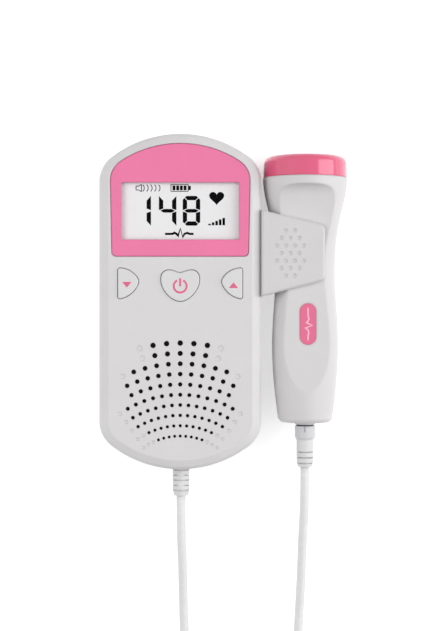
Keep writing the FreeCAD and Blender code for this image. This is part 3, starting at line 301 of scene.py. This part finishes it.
class Surface:
    """One material's node tree, with the few nodes that the materials below share."""

    def __init__(self, name, roughness, metallic=0.0, coat=0.0, coat_roughness=0.1, ior=1.46):
        self.material = bpy.data.materials.new(name)
        self.material.use_nodes = True
        self.tree = self.material.node_tree
        self.shader = self.tree.nodes["Principled BSDF"]
        self.set({"Roughness": roughness, "Metallic": metallic, "Coat Weight": coat,
                  "Coat Roughness": coat_roughness, "IOR": ior})
        self.place = self.node("ShaderNodeTexCoord").outputs["Object"]

    def node(self, kind, inputs=None, **settings):
        return add_node(self.tree, kind, inputs, **settings)

    def set(self, inputs):
        feed(self.tree, self.shader.inputs, inputs)

    def axes(self):
        """The outputs with the place's X, Y and Z."""
        return self.node("ShaderNodeSeparateXYZ", {"Vector": self.place}).outputs

    def noise(self, size, detail=2.0, squeeze=(1, 1, 1)):
        """Noise whose features are about that many millimetres across, and that many times
        narrower along an axis that is squeezed."""
        place = self.node("ShaderNodeMapping", {"Vector": self.place, "Scale": squeeze})
        made = self.node("ShaderNodeTexNoise", {"Vector": place.outputs["Vector"],
                                                "Scale": 1 / (size * MM), "Detail": detail})
        return made.outputs["Fac"]

    def colours(self, factor, low, high):
        """The base colour runs from low to high with the factor."""
        between = self.node("ShaderNodeValToRGB", {"Fac": factor})
        first, last = between.color_ramp.elements
        first.position, first.color = NOISE_LOW, low
        last.position, last.color = NOISE_HIGH, high
        self.set({"Base Color": between.outputs["Color"]})

    def roughness(self, factor, low, high):
        """The roughness runs from low to high with the factor."""
        self.set({"Roughness": rescale(self.tree, factor, low, high)})

    def bump(self, factor, depth, edge=0.0):
        """Relief that many millimetres deep, over edges rounded by that radius."""
        inputs = {"Distance": depth * MM, "Height": factor}
        if edge:
            rounded = self.node("ShaderNodeBevel", {"Radius": edge * MM}, samples=BEVEL_SAMPLES)
            inputs["Normal"] = rounded.outputs["Normal"]
        self.set({"Normal": self.node("ShaderNodeBump", inputs).outputs["Normal"]})


# ---- materials -------------------------------------------------------------------------
def moulded(name, colour, roughness=0.42, grain=0.35, depth=0.004, coat=0.0, edge=0.0):
    """Moulded plastic: an even colour with a faint cloud in it, and a fine satin grain."""
    surface = Surface(name, roughness, coat=coat)
    surface.colours(surface.noise(14.0, detail=3.0), shade(colour, 0.975), colour)
    surface.roughness(surface.noise(3.0, detail=4.0), roughness - 0.05, roughness + 0.05)
    surface.bump(surface.noise(grain, detail=3.0), depth, edge)
    return surface.material


def polished(name, colour, roughness, coat, edge=0.0, ior=1.46, spread=0.015):
    """Glossy plastic: the colour lies under a clear skin with a slight moulded waviness."""
    surface = Surface(name, roughness, coat=coat, coat_roughness=0.06, ior=ior)
    surface.colours(surface.noise(9.0), shade(colour, 0.96), colour)
    surface.roughness(surface.noise(2.0, detail=4.0), roughness - spread, roughness + spread)
    surface.bump(surface.noise(5.0, detail=1.0), 0.006, edge)
    return surface.material


def rubber(name, colour):
    """Soft moulding: dull, with a dusty grain."""
    surface = Surface(name, 0.6)
    surface.colours(surface.noise(2.5, detail=4.0), shade(colour, 0.95), colour)
    surface.roughness(surface.noise(0.8, detail=3.0), 0.5, 0.7)
    surface.bump(surface.noise(0.22, detail=3.0), 0.006)
    return surface.material


def metal(name, colour, roughness=0.3, squeeze=(1, 1, 12)):
    """Plated or drawn metal: fine lines across the axis that is squeezed."""
    surface = Surface(name, roughness, metallic=1.0)
    lines = surface.noise(0.9, detail=5.0, squeeze=squeeze)
    surface.colours(lines, shade(colour, 0.8), colour)
    surface.roughness(lines, roughness - 0.08, roughness + 0.15)
    surface.bump(lines, 0.004)
    return surface.material


def circuit(name, board, trace, pitch=6.0):
    """Solder resist with the tracks showing through it."""
    surface = Surface(name, 0.35, coat=0.4)
    tracks = surface.node("ShaderNodeTexBrick", {
        "Vector": surface.place, "Scale": 1 / (pitch * MM), "Mortar Size": 0.05,
        "Color1": board, "Color2": shade(board, 0.85), "Mortar": trace})
    surface.set({"Base Color": tracks.outputs["Color"]})
    surface.bump(tracks.outputs["Fac"], 0.03)
    return surface.material


def woven(name, colour, pitch=0.5):
    """Dust cloth: two sets of threads crossing."""
    surface = Surface(name, 0.85)
    threads = []
    for direction in ("X", "Y"):
        wave = surface.node("ShaderNodeTexWave", {"Vector": surface.place,
                                                  "Scale": 0.3 / (pitch * MM)},
                            bands_direction=direction)
        threads.append(wave.outputs["Fac"])
    crossing = calculate(surface.tree, "MULTIPLY", *threads)
    surface.colours(crossing, shade(colour, 0.5), shade(colour, 1.6))
    surface.bump(crossing, 0.08)
    return surface.material


def sleeve(name, colour, end_colour, middle_y, half_plain):
    """A cell's printed sleeve: one end has the other colour. The two cells lie head to tail
    on either side of x = 0, so the sign of x tells which end that is."""
    surface = Surface(name, 0.25, metallic=0.6, coat=0.5)
    axes = surface.axes()
    along = calculate(surface.tree, "SUBTRACT", axes["Y"], middle_y * MM)
    side = calculate(surface.tree, "SIGN", axes["X"])
    towards_end = calculate(surface.tree, "MULTIPLY", along, side)
    at_end = calculate(surface.tree, "GREATER_THAN", towards_end, half_plain * MM)
    surface.colours(at_end, colour, end_colour)
    surface.bump(surface.noise(0.3, detail=3.0), 0.004)
    return surface.material


def ferrule(name, colour, dark, groove_y, groove_width):
    """Slightly milky plastic with a painted shadow, a band of dark colour, in its groove, whose
    upper side is at groove_y."""
    surface = Surface(name, 0.28, coat=0.3)
    middle = groove_y - groove_width / 2
    off = calculate(surface.tree, "SUBTRACT", surface.axes()["Y"], middle * MM)
    # painted shadow: the dark colour goes where the groove's shade falls
    away = calculate(surface.tree, "ABSOLUTE", off)
    reach = groove_width / 2 + GROOVE_MARGIN
    outside = calculate(surface.tree, "GREATER_THAN", away, reach * MM)
    surface.colours(outside, dark, colour)
    surface.roughness(surface.noise(1.5, detail=3.0), 0.2, 0.38)
    surface.bump(surface.noise(0.4, detail=3.0), 0.003)
    return surface.material


def display_glass(name, colour):
    """The display: a pale reflector with a very fine, faint mottle."""
    surface = Surface(name, 0.3)
    surface.colours(surface.noise(0.4), shade(colour, 0.98), colour)
    surface.bump(surface.noise(0.2), 0.002)
    return surface.material


def clear_sheet(name):
    """Clear flat plastic: light passes straight on, and towards a grazing look its skin
    mirrors more and more."""
    surface = Surface(name, 0.05)
    grazing = surface.node("ShaderNodeLayerWeight").outputs["Facing"]
    surface.set({"Base Color": linear(40, 42, 46),
                 "Alpha": rescale(surface.tree, grazing, 0.01, 0.6, start=0.62)})
    surface.roughness(surface.noise(6.0, detail=3.0), 0.03, 0.08)
    surface.bump(surface.noise(25.0, detail=1.0), 0.004)
    return surface.material


def printed(name, colour, roughness=0.42, gloss=0.5):
    """Ink: an even film with a slightly uneven gloss."""
    surface = Surface(name, roughness)
    surface.set({"Specular IOR Level": gloss})
    surface.colours(surface.noise(1.2, detail=3.0), shade(colour, 0.95), colour)
    surface.roughness(surface.noise(0.5, detail=3.0), roughness - 0.07, roughness + 0.08)
    surface.bump(surface.noise(0.15), 0.002)
    return surface.material


CELL_MIDDLE_Y = (cell_low.y + cell_high.y) / 2
CELL_HALF_PLAIN = 9.0       # from the cell's middle to where the end's colour starts
GROOVE_START = 4.1          # from the end of the ferrule's tenon, which stands in the probe
GROOVE_WIDTH = 0.6
GROOVE_MARGIN = 0.02        # takes the groove's own walls into the painted shadow
GROOVE_Y = COLLAR_TOP_Y - GROOVE_START

finishes = {
    "white_shell": moulded("white_shell", linear(224, 222, 223), edge=0.7),
    "white_key": moulded("white_key", linear(226, 225, 226), roughness=0.4, grain=0.3,
                         depth=0.003),
    "pink_gloss": polished("pink_gloss", linear(245, 126, 172), roughness=0.28, coat=0.1,
                           edge=0.9, spread=0.004),
    "pink_cap": polished("pink_cap", linear(231, 72, 121), roughness=0.16, coat=0.95, ior=1.62),
    "pink_label": moulded("pink_label", linear(236, 115, 152), roughness=0.35, grain=0.3,
                          depth=0.003),
    "clear_window": clear_sheet("clear_window"),
    "lcd_glass": display_glass("lcd_glass", linear(250, 250, 251)),
    "inner_white": moulded("inner_white", linear(222, 222, 220), roughness=0.5),
    "board_green": circuit("board_green", board=linear(18, 92, 52), trace=linear(52, 140, 84)),
    "chip_black": moulded("chip_black", linear(34, 34, 36), roughness=0.55, grain=0.2,
                          depth=0.006),
    "zinc_steel": metal("zinc_steel", linear(190, 192, 196)),
    "black_cloth": woven("black_cloth", linear(26, 26, 30)),
    "speaker_paper": moulded("speaker_paper", linear(44, 44, 46), roughness=0.6, grain=0.8,
                             depth=0.02),
    "magnet_grey": metal("magnet_grey", linear(96, 97, 100), roughness=0.5),
    "cell_sleeve": sleeve("cell_sleeve", linear(52, 96, 84), linear(200, 168, 92),
                          CELL_MIDDLE_Y, CELL_HALF_PLAIN),
    "contact_nickel": metal("contact_nickel", linear(206, 202, 192), roughness=0.22),
    "jack_black": moulded("jack_black", linear(38, 38, 40), roughness=0.4, grain=0.25,
                          depth=0.004),
    "white_rubber": rubber("white_rubber", linear(228, 227, 228)),
    # the collar's groove gets a painted shadow in its colour
    "white_collar": ferrule("white_collar", linear(212, 211, 213), linear(70, 68, 70),
                            GROOVE_Y, GROOVE_WIDTH),
    "window_resin": moulded("window_resin", linear(206, 201, 201), roughness=0.3, grain=0.5,
                            depth=0.003, coat=0.2),
    "crystal": metal("crystal", linear(214, 210, 192), roughness=0.35, squeeze=(1, 1, 1)),
    "backing_resin": rubber("backing_resin", linear(62, 62, 66)),
    "cord_jacket": rubber("cord_jacket", linear(238, 238, 239)),
    "tie_white": rubber("tie_white", linear(228, 228, 228)),
}
ink_pink = printed("ink_pink", linear(232, 104, 142))
ink_dark = printed("ink_dark", linear(6, 6, 7), roughness=0.7, gloss=0.06)
ink_grey = printed("ink_grey", linear(58, 58, 60), roughness=0.7, gloss=0.06)
ink_pale = printed("ink_pale", linear(250, 200, 216))

for subpart in frame["record"]["subparts"]:
    node = frame["nodes"][subpart["node"]]
    node.data.materials.clear()
    node.data.materials.append(finishes[subpart["material_slot"]])

# The probe and its holder are a little darker than the unit, and the probe's edges softer.
probe_white = moulded("probe_white", linear(221, 219, 220), edge=1.6)
holder_white = moulded("holder_white", linear(219, 217, 218), edge=0.7)
for name in ("probe_front_shell", "probe_rear_shell"):
    frame["nodes"][name].data.materials[0] = probe_white
frame["nodes"]["probe_holder"].data.materials[0] = holder_white


cord.data.materials.append(finishes["cord_jacket"])
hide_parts("cord_unit_run", "cord_probe_run", "cord_coil")
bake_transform(cord)


# ---- flat print ------------------------------------------------------------------------
INK = 0.03                  # thickness of a printed film
SAME_PLACE = 5              # a sign's corners that agree to so many decimals are one


def add_film(mesh, patches, level):
    """One sign as a closed film on the surface at that height. Its walls stand on the sides
    that belong to one patch alone."""
    made = {}

    def corner(place, z):
        key = (round(place[0], SAME_PLACE), round(place[1], SAME_PLACE), z)
        if key not in made:
            made[key] = mesh.verts.new(mm(*key))
        return made[key]

    rims = {}
    for patch in patches:
        mesh.faces.new([corner(place, level + INK) for place in patch])
        mesh.faces.new([corner(place, level) for place in reversed(patch)])
        for a, b in zip(patch, patch[1:] + patch[:1]):
            pair = frozenset((corner(a, level), corner(b, level)))
            rims[pair] = None if pair in rims else (a, b)
    for a, b in filter(None, rims.values()):
        mesh.faces.new((corner(a, level), corner(b, level), corner(b, level + INK),
                        corner(a, level + INK)))


def print_on(name, signs, level, body, material):
    """Flat signs as one piece. A sign is a list of patches, and each patch is the closed
    outline of (x, y) places."""
    mesh = bmesh.new()
    for sign in signs:
        add_film(mesh, sign, level)
    bmesh.ops.recalc_face_normals(mesh, faces=mesh.faces)
    dress(add_object(name, mesh), body, material)


def stroke(points, width):
    """The patches of a line drawn through the points with that width and mitred bends."""
    sharpest = 0.3          # keeps the mitre of a sharp bend short
    sides = []
    for i, (x, y) in enumerate(points):
        normals = []
        for a, b in zip(points[max(i - 1, 0):i + 1], points[max(i, 1):i + 2]):
            size = math.dist(a, b)
            normals.append(((a[1] - b[1]) / size, (b[0] - a[0]) / size))
        nx = sum(normal[0] for normal in normals) / len(normals)
        ny = sum(normal[1] for normal in normals) / len(normals)
        reach = width / 2 / max(nx * nx + ny * ny, sharpest)
        sides.append(((x + nx * reach, y + ny * reach), (x - nx * reach, y - ny * reach)))
    return [[a[0], a[1], b[1], b[0]] for a, b in zip(sides, sides[1:])]


def bow(centre, radius, start, end, steps=20):
    """Points on an arc, in degrees counted from +X."""
    places = []
    for i in range(steps + 1):
        angle = math.radians(start + (end - start) * i / steps)
        places.append((centre[0] + radius * math.cos(angle),
                       centre[1] + radius * math.sin(angle)))
    return places


def bar(x, y, width, height):
    """The outline of an upright rectangle with its lower left corner at x, y."""
    return [(x, y), (x + width, y), (x + width, y + height), (x, y + height)]


def heart(x, y, width, steps=48):
    """The heart sign about x, y, from the usual curve for it, which is 32 units wide."""
    unit = width / 32
    places = []
    for turn in turns(steps):
        across = 16 * math.sin(turn) ** 3
        up = (13 * math.cos(turn) - 5 * math.cos(2 * turn) - 2 * math.cos(3 * turn)
              - math.cos(4 * turn))
        places.append((x + across * unit, y + up * unit))
    return places


def pulse_trace(x, y, length, height):
    """A heartbeat trace: level, a small rise, a spike down and up, and level again."""
    shape = [(0.0, 0.0), (0.26, 0.0), (0.33, 0.22), (0.40, 0.0), (0.46, -0.35), (0.54, 1.0),
             (0.62, -0.6), (0.68, 0.0), (0.78, 0.18), (0.86, 0.0), (1.0, 0.0)]
    return [(x + across * length, y + up * height) for across, up in shape]


# ---- display content -------------------------------------------------------------------
DIGIT_WIDTH = 7.1
DIGIT_HEIGHT = 12.1
DIGIT_STROKE = 1.75
DIGIT_GAP = 0.2             # across and up, between the slanted ends of two bars
DIGIT_CORNER = 1.55         # cut off the outer corners of a digit that has a top bar
DIGIT_FOOT_Y = 30.85
DIGIT_LEFTS = (-19.05, -8.7, 1.0)
SEGMENTS = {"1": "bc", "4": "bcfg", "8": "abcdefg"}
READING = "148"


def segment(letter, x, y, cornered):
    """One bar of a seven-bar digit, with its ends cut on the slant."""
    right, top, thick = DIGIT_WIDTH, DIGIT_HEIGHT, DIGIT_STROKE
    half = top / 2
    inner = thick + DIGIT_GAP
    near, far = (DIGIT_CORNER - DIGIT_GAP) / 2, (DIGIT_CORNER + DIGIT_GAP) / 2
    rise = 0.42 * thick     # half the thickness of the middle bar
    tip = 0.3 * thick       # from the digit's side to the middle bar's point
    side_end = half + 0.15 * thick          # of an upper side bar, on the digit's outside
    side_inner_end = half + 0.5 * thick
    top_bar = [(DIGIT_CORNER, top), (right - DIGIT_CORNER, top), (right - far, top - near),
               (right - inner, top - thick), (inner, top - thick), (far, top - near)]
    middle_bar = [(tip, half), (inner, half + rise), (right - inner, half + rise),
                  (right - tip, half), (right - inner, half - rise), (inner, half - rise)]
    shoulder = [(0, top - DIGIT_CORNER), (near, top - far)] if cornered else [(0, top)]
    side_bar = shoulder + [(thick, top - inner), (thick, side_inner_end), (0, side_end)]
    shapes = {
        "a": top_bar,
        "d": [(across, top - up) for across, up in top_bar],
        "g": middle_bar,
        "f": side_bar,
        "b": [(right - across, up) for across, up in side_bar],
        "e": [(across, top - up) for across, up in side_bar],
        "c": [(right - across, top - up) for across, up in side_bar],
    }
    return [(x + across, y + up) for across, up in shapes[letter]]


def heart_rate_digits():
    """The bars of the reading, each a sign of its own."""
    bars = []
    for sign, left in zip(READING, DIGIT_LEFTS):
        lit = SEGMENTS[sign]
        bars += [[segment(letter, left, DIGIT_FOOT_Y, "a" in lit)] for letter in lit]
    return bars


def battery_sign(x, y, width, height, count):
    """A battery: its case in a thin line, and that many bars and a nub at the right."""
    line = 0.3
    first_bar, inset = 0.65, 0.42           # from the case's left side, and from its foot
    nub_gap, nub_width, nub_height = 0.17, 0.9, 0.6 * height
    pitch = (width - 1.0) / count
    bar_width = 0.78 * pitch
    rim = bar(x, y, width, height)
    case = [stroke([a, b], line) for a, b in zip(rim, rim[1:] + rim[:1])]
    charge = [[bar(x + first_bar + i * pitch, y + inset, bar_width, height - 2 * inset)]
              for i in range(count)]
    nub = [[bar(x + width + nub_gap, y + (height - nub_height) / 2, nub_width, nub_height)]]
    return case, charge + nub


def loudspeaker_sign(x, y, height, count):
    """A small loudspeaker in outline and that many arcs of its sound."""
    line = 0.34
    box, horn = 1.0, 2.2    # from the left side to where the horn starts and ends
    box_half = 0.27 * height
    arc_radius, arc_pitch, arc_angle = 0.6 * height, 1.6, 50
    middle = y + height / 2
    body = [(x, middle - box_half), (x, middle + box_half), (x + box, middle + box_half),
            (x + horn, y + height), (x + horn, y), (x + box, middle - box_half),
            (x, middle - box_half)]
    lines = [stroke([a, b], line) for a, b in zip(body, body[1:])]
    for i in range(count):
        centre = (x + arc_pitch * (i + 1), middle)
        lines.append(stroke(bow(centre, arc_radius, -arc_angle, arc_angle), line))
    return lines


def level_bars(x, y, width, height, count):
    """A row of bars that grow from left to right."""
    pitch = width / count
    bar_width = 0.72 * pitch
    return [[bar(x + i * pitch, y, bar_width, height * (i + 1) / count)]
            for i in range(count)]


case, charge = battery_sign(x=-3.8, y=44.8, width=7.0, height=2.8, count=4)
dark = heart_rate_digits() + [[heart(x=14.8, y=42.3, width=6.1)]] + charge
dark += level_bars(x=11.4, y=31.0, width=7.2, height=3.0, count=5)
dark.append(stroke(pulse_trace(x=-6.2, y=27.5, length=11.6, height=2.2), width=0.9))
print_on("display_signs", dark, LCD_TOP, "monitor", ink_dark)
faint = case + loudspeaker_sign(x=-18.0, y=44.7, height=2.9, count=5)
print_on("display_outlines", faint, LCD_TOP, "monitor", ink_grey)


# ---- signs on the keys and on the probe's label ----------------------------------------
POWER_CENTRE = (0.0, 6.2)
POWER_RING = 2.6
POWER_OPENING = 28          # degrees, from the top of the ring to where it starts
POWER_LINE = 0.8
POWER_MARK_FOOT = POWER_CENTRE[1] - 0.1
POWER_MARK_LENGTH = 3.3
ARROW_X = 21.6
ARROW_HALF_WIDTH = 1.9
LABEL_TRACE = 13.2
LABEL_SPIKE = 1.7
LABEL_LINE = 0.6


def key_top(node):
    return corners(node)[1].z


def arrow(x, base_y, tip_y):
    """A solid triangle that points up or down."""
    half = math.copysign(ARROW_HALF_WIDTH, tip_y - base_y)
    return [(x + half, base_y), (x, tip_y), (x - half, base_y)]


ring = stroke(bow(POWER_CENTRE, POWER_RING, 90 + POWER_OPENING, 450 - POWER_OPENING, steps=48),
              POWER_LINE)
mark = [bar(POWER_CENTRE[0] - POWER_LINE / 2, POWER_MARK_FOOT, POWER_LINE, POWER_MARK_LENGTH)]
print_on("power_sign", [ring, mark], key_top("power_button"), "power_key", ink_pink)
print_on("volume_down_sign", [[arrow(-ARROW_X, base_y=7.9, tip_y=5.6)]],
         key_top("volume_down_button"), "volume_down_key", ink_pink)
print_on("volume_up_sign", [[arrow(ARROW_X, base_y=5.4, tip_y=7.7)]],
         key_top("volume_up_button"), "volume_up_key", ink_pink)

label_middle = (label_low + label_high) / 2
trace = pulse_trace(x=-LABEL_TRACE / 2, y=0.0, length=LABEL_TRACE, height=LABEL_SPIKE)
label_line = stroke([(label_middle.x + up, label_middle.y - along) for along, up in trace],
                    LABEL_LINE)
print_on("label_trace", [label_line], label_high.z, "probe", ink_pale)


# ---- display pane ----------------------------------------------------------------------
PANE_GAP = 0.06             # air between the display and the pane, with the signs in it
PANE_CUT = 0.15


def plate(name, low, high, cut):
    """A flat plate with its upper edges cut off at an angle."""
    mesh = bmesh.new()
    rings = []
    for inset, z in ((0.0, low.z), (0.0, high.z - cut), (cut, high.z)):
        outline = bar(low.x + inset, low.y + inset, high.x - low.x - 2 * inset,
                      high.y - low.y - 2 * inset)
        rings.append([mesh.verts.new(mm(x, y, z)) for x, y in outline])
    skin(mesh, rings)
    close_ends(mesh, rings)
    return add_object(name, mesh)


pane_foot = Vector((pane_low.x, pane_low.y, pane_low.z + PANE_GAP))
pane = plate("pane", pane_foot, pane_high, PANE_CUT)
dress(pane, "monitor", finishes["clear_window"])
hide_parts("display_window")


# ---- probe cap -------------------------------------------------------------------------
CAP_SIDES = 128
CAP_CORNER = 3.0            # radius of the rounded rim
CAP_CORNER_STEPS = 12
CAP_WALL = 1.6
CAP_STEP = 2.0              # from the rim to the skirt that stands in the probe
CAP_SEAM_CUT = (0.22, 0.25) # inwards and up, at the seam with the probe
WINDOW_FLANGE = 1.0         # of the window, behind the cap's rim
WINDOW_GAP = 0.15           # by which this cap's opening is wider than the solid cap's
SHARP_ANGLE = 32            # degrees, above which an edge isn't shaded smooth


def turned(name, profile, sides):
    """A closed section of (radius, y) turned about the probe's axis."""
    mesh = bmesh.new()
    rings = []
    for radius, y in profile:
        places = [(PROBE_X + radius * math.cos(turn), y, PROBE_Z + radius * math.sin(turn))
                  for turn in turns(sides)]
        rings.append([mesh.verts.new(mm(*place)) for place in places])
    skin(mesh, rings + rings[:1])
    bmesh.ops.recalc_face_normals(mesh, faces=mesh.faces)
    for face in mesh.faces:
        face.smooth = True
    for edge in mesh.edges:
        if edge.calc_face_angle(0) > math.radians(SHARP_ANGLE):
            edge.smooth = False
    return add_object(name, mesh)


def cap_profile():
    """From the window's opening over the rounded rim to the seam, and back inside."""
    rim = (cap_high.x - cap_low.x) / 2
    top = cap_high.y
    seam = probe_high.y
    hole = (window_high.x - window_low.x) / 2 - WINDOW_FLANGE + WINDOW_GAP
    corner = bow((rim - CAP_CORNER, top - CAP_CORNER), CAP_CORNER, 90, 0, CAP_CORNER_STEPS)
    inwards, up = CAP_SEAM_CUT
    skirt = rim - CAP_STEP
    inner = skirt - CAP_WALL
    return ([(hole, top - CAP_WALL), (hole, top)] + corner
            + [(rim, seam + up), (rim - inwards, seam), (skirt, seam), (skirt, cap_low.y),
               (inner, cap_low.y), (inner, top - CAP_WALL)])


cap = turned("cap", cap_profile(), CAP_SIDES)
dress(cap, "probe", finishes["pink_cap"])
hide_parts("probe_cap")


# ---- floor -----------------------------------------------------------------------------
FLOOR_HALF = 3000.0
FLOOR_DROP = 0.05           # keeps the floor just clear of the flat back
FLOOR_GLOW = 0.45           # makes the paper white where it is seen, and lights nothing


def seen_directly(tree):
    """1 for rays from the camera, a mirror or clear glass, and 0 for light on the object."""
    path = add_node(tree, "ShaderNodeLightPath").outputs
    total = path["Is Camera Ray"]
    for name in ("Is Glossy Ray", "Is Transmission Ray"):
        total = calculate(tree, "MAXIMUM", total, path[name])
    return total


floor_mesh = bmesh.new()
floor_mesh.faces.new([
    floor_mesh.verts.new(mm(x, y, -FLOOR_DROP))
    for x, y in bar(-FLOOR_HALF, -FLOOR_HALF, 2 * FLOOR_HALF, 2 * FLOOR_HALF)])
floor = add_object("floor", floor_mesh)
paper = Surface("floor_paper", 0.9)
paper.colours(paper.noise(60.0, detail=3.0), linear(236, 236, 236), linear(240, 240, 240))
strength = calculate(paper.tree, "MULTIPLY", seen_directly(paper.tree), FLOOR_GLOW)
glow = paper.node("ShaderNodeEmission", {"Strength": strength})
both = paper.node("ShaderNodeAddShader", {0: paper.shader.outputs["BSDF"],
                                          1: glow.outputs["Emission"]})
feed(paper.tree, paper.tree.nodes["Material Output"].inputs,
     {"Surface": both.outputs["Shader"]})
floor.data.materials.append(paper.material)


# ---- world: a white tent ---------------------------------------------------------------
TENT_LEVEL = 0.72           # the tent's light, which fades out towards +Y and -Y

world = bpy.data.worlds.new("tent")
world.use_nodes = True
bpy.context.scene.world = world
tent = world.node_tree
direction = add_node(tent, "ShaderNodeTexCoord").outputs["Generated"]
along = add_node(tent, "ShaderNodeSeparateXYZ", {"Vector": direction}).outputs["Y"]
fade = calculate(tent, "POWER", along, 2.0)
light = rescale(tent, fade, TENT_LEVEL, 0.0)
feed(tent, tent.nodes["Background"].inputs,
     {"Color": (1.0, 1.0, 1.0, 1.0), "Strength": rescale(tent, seen_directly(tent), light, 1.0)})


# ---- lamps -----------------------------------------------------------------------------
LAMP_TARGET = (20.0, 0.0, 15.0)


def softbox(name, place, width, height, watts, mirrored=False):
    """A soft lamp that shines on the object. Glossy surfaces show it only if mirrored."""
    lamp = bpy.data.lights.new(name, "AREA")
    lamp.shape = "RECTANGLE"
    lamp.size = width * MM
    lamp.size_y = height * MM
    lamp.energy = watts
    holder = bpy.data.objects.new(name, lamp)
    holder.location = mm(*place)
    aim = (mm(*LAMP_TARGET) - holder.location).to_track_quat("-Z", "Y")
    holder.rotation_euler = aim.to_euler()
    holder.visible_camera = False
    holder.visible_glossy = mirrored
    bpy.context.scene.collection.objects.link(holder)


# The right lamp is two lamps in one place, so that its reflection is weaker than its light.
right = {"place": (900.0, 150.0, 560.0), "width": 500.0, "height": 850.0}
softbox("softbox_right", **right, watts=2.4, mirrored=True)
softbox("softbox_fill", **right, watts=2.2)
softbox("softbox_edge", place=(1000.0, 0.0, 190.0), width=700.0, height=250.0, watts=1.8)
softbox("softbox_left", place=(-620.0, 60.0, 760.0), width=700.0, height=500.0, watts=2.8)
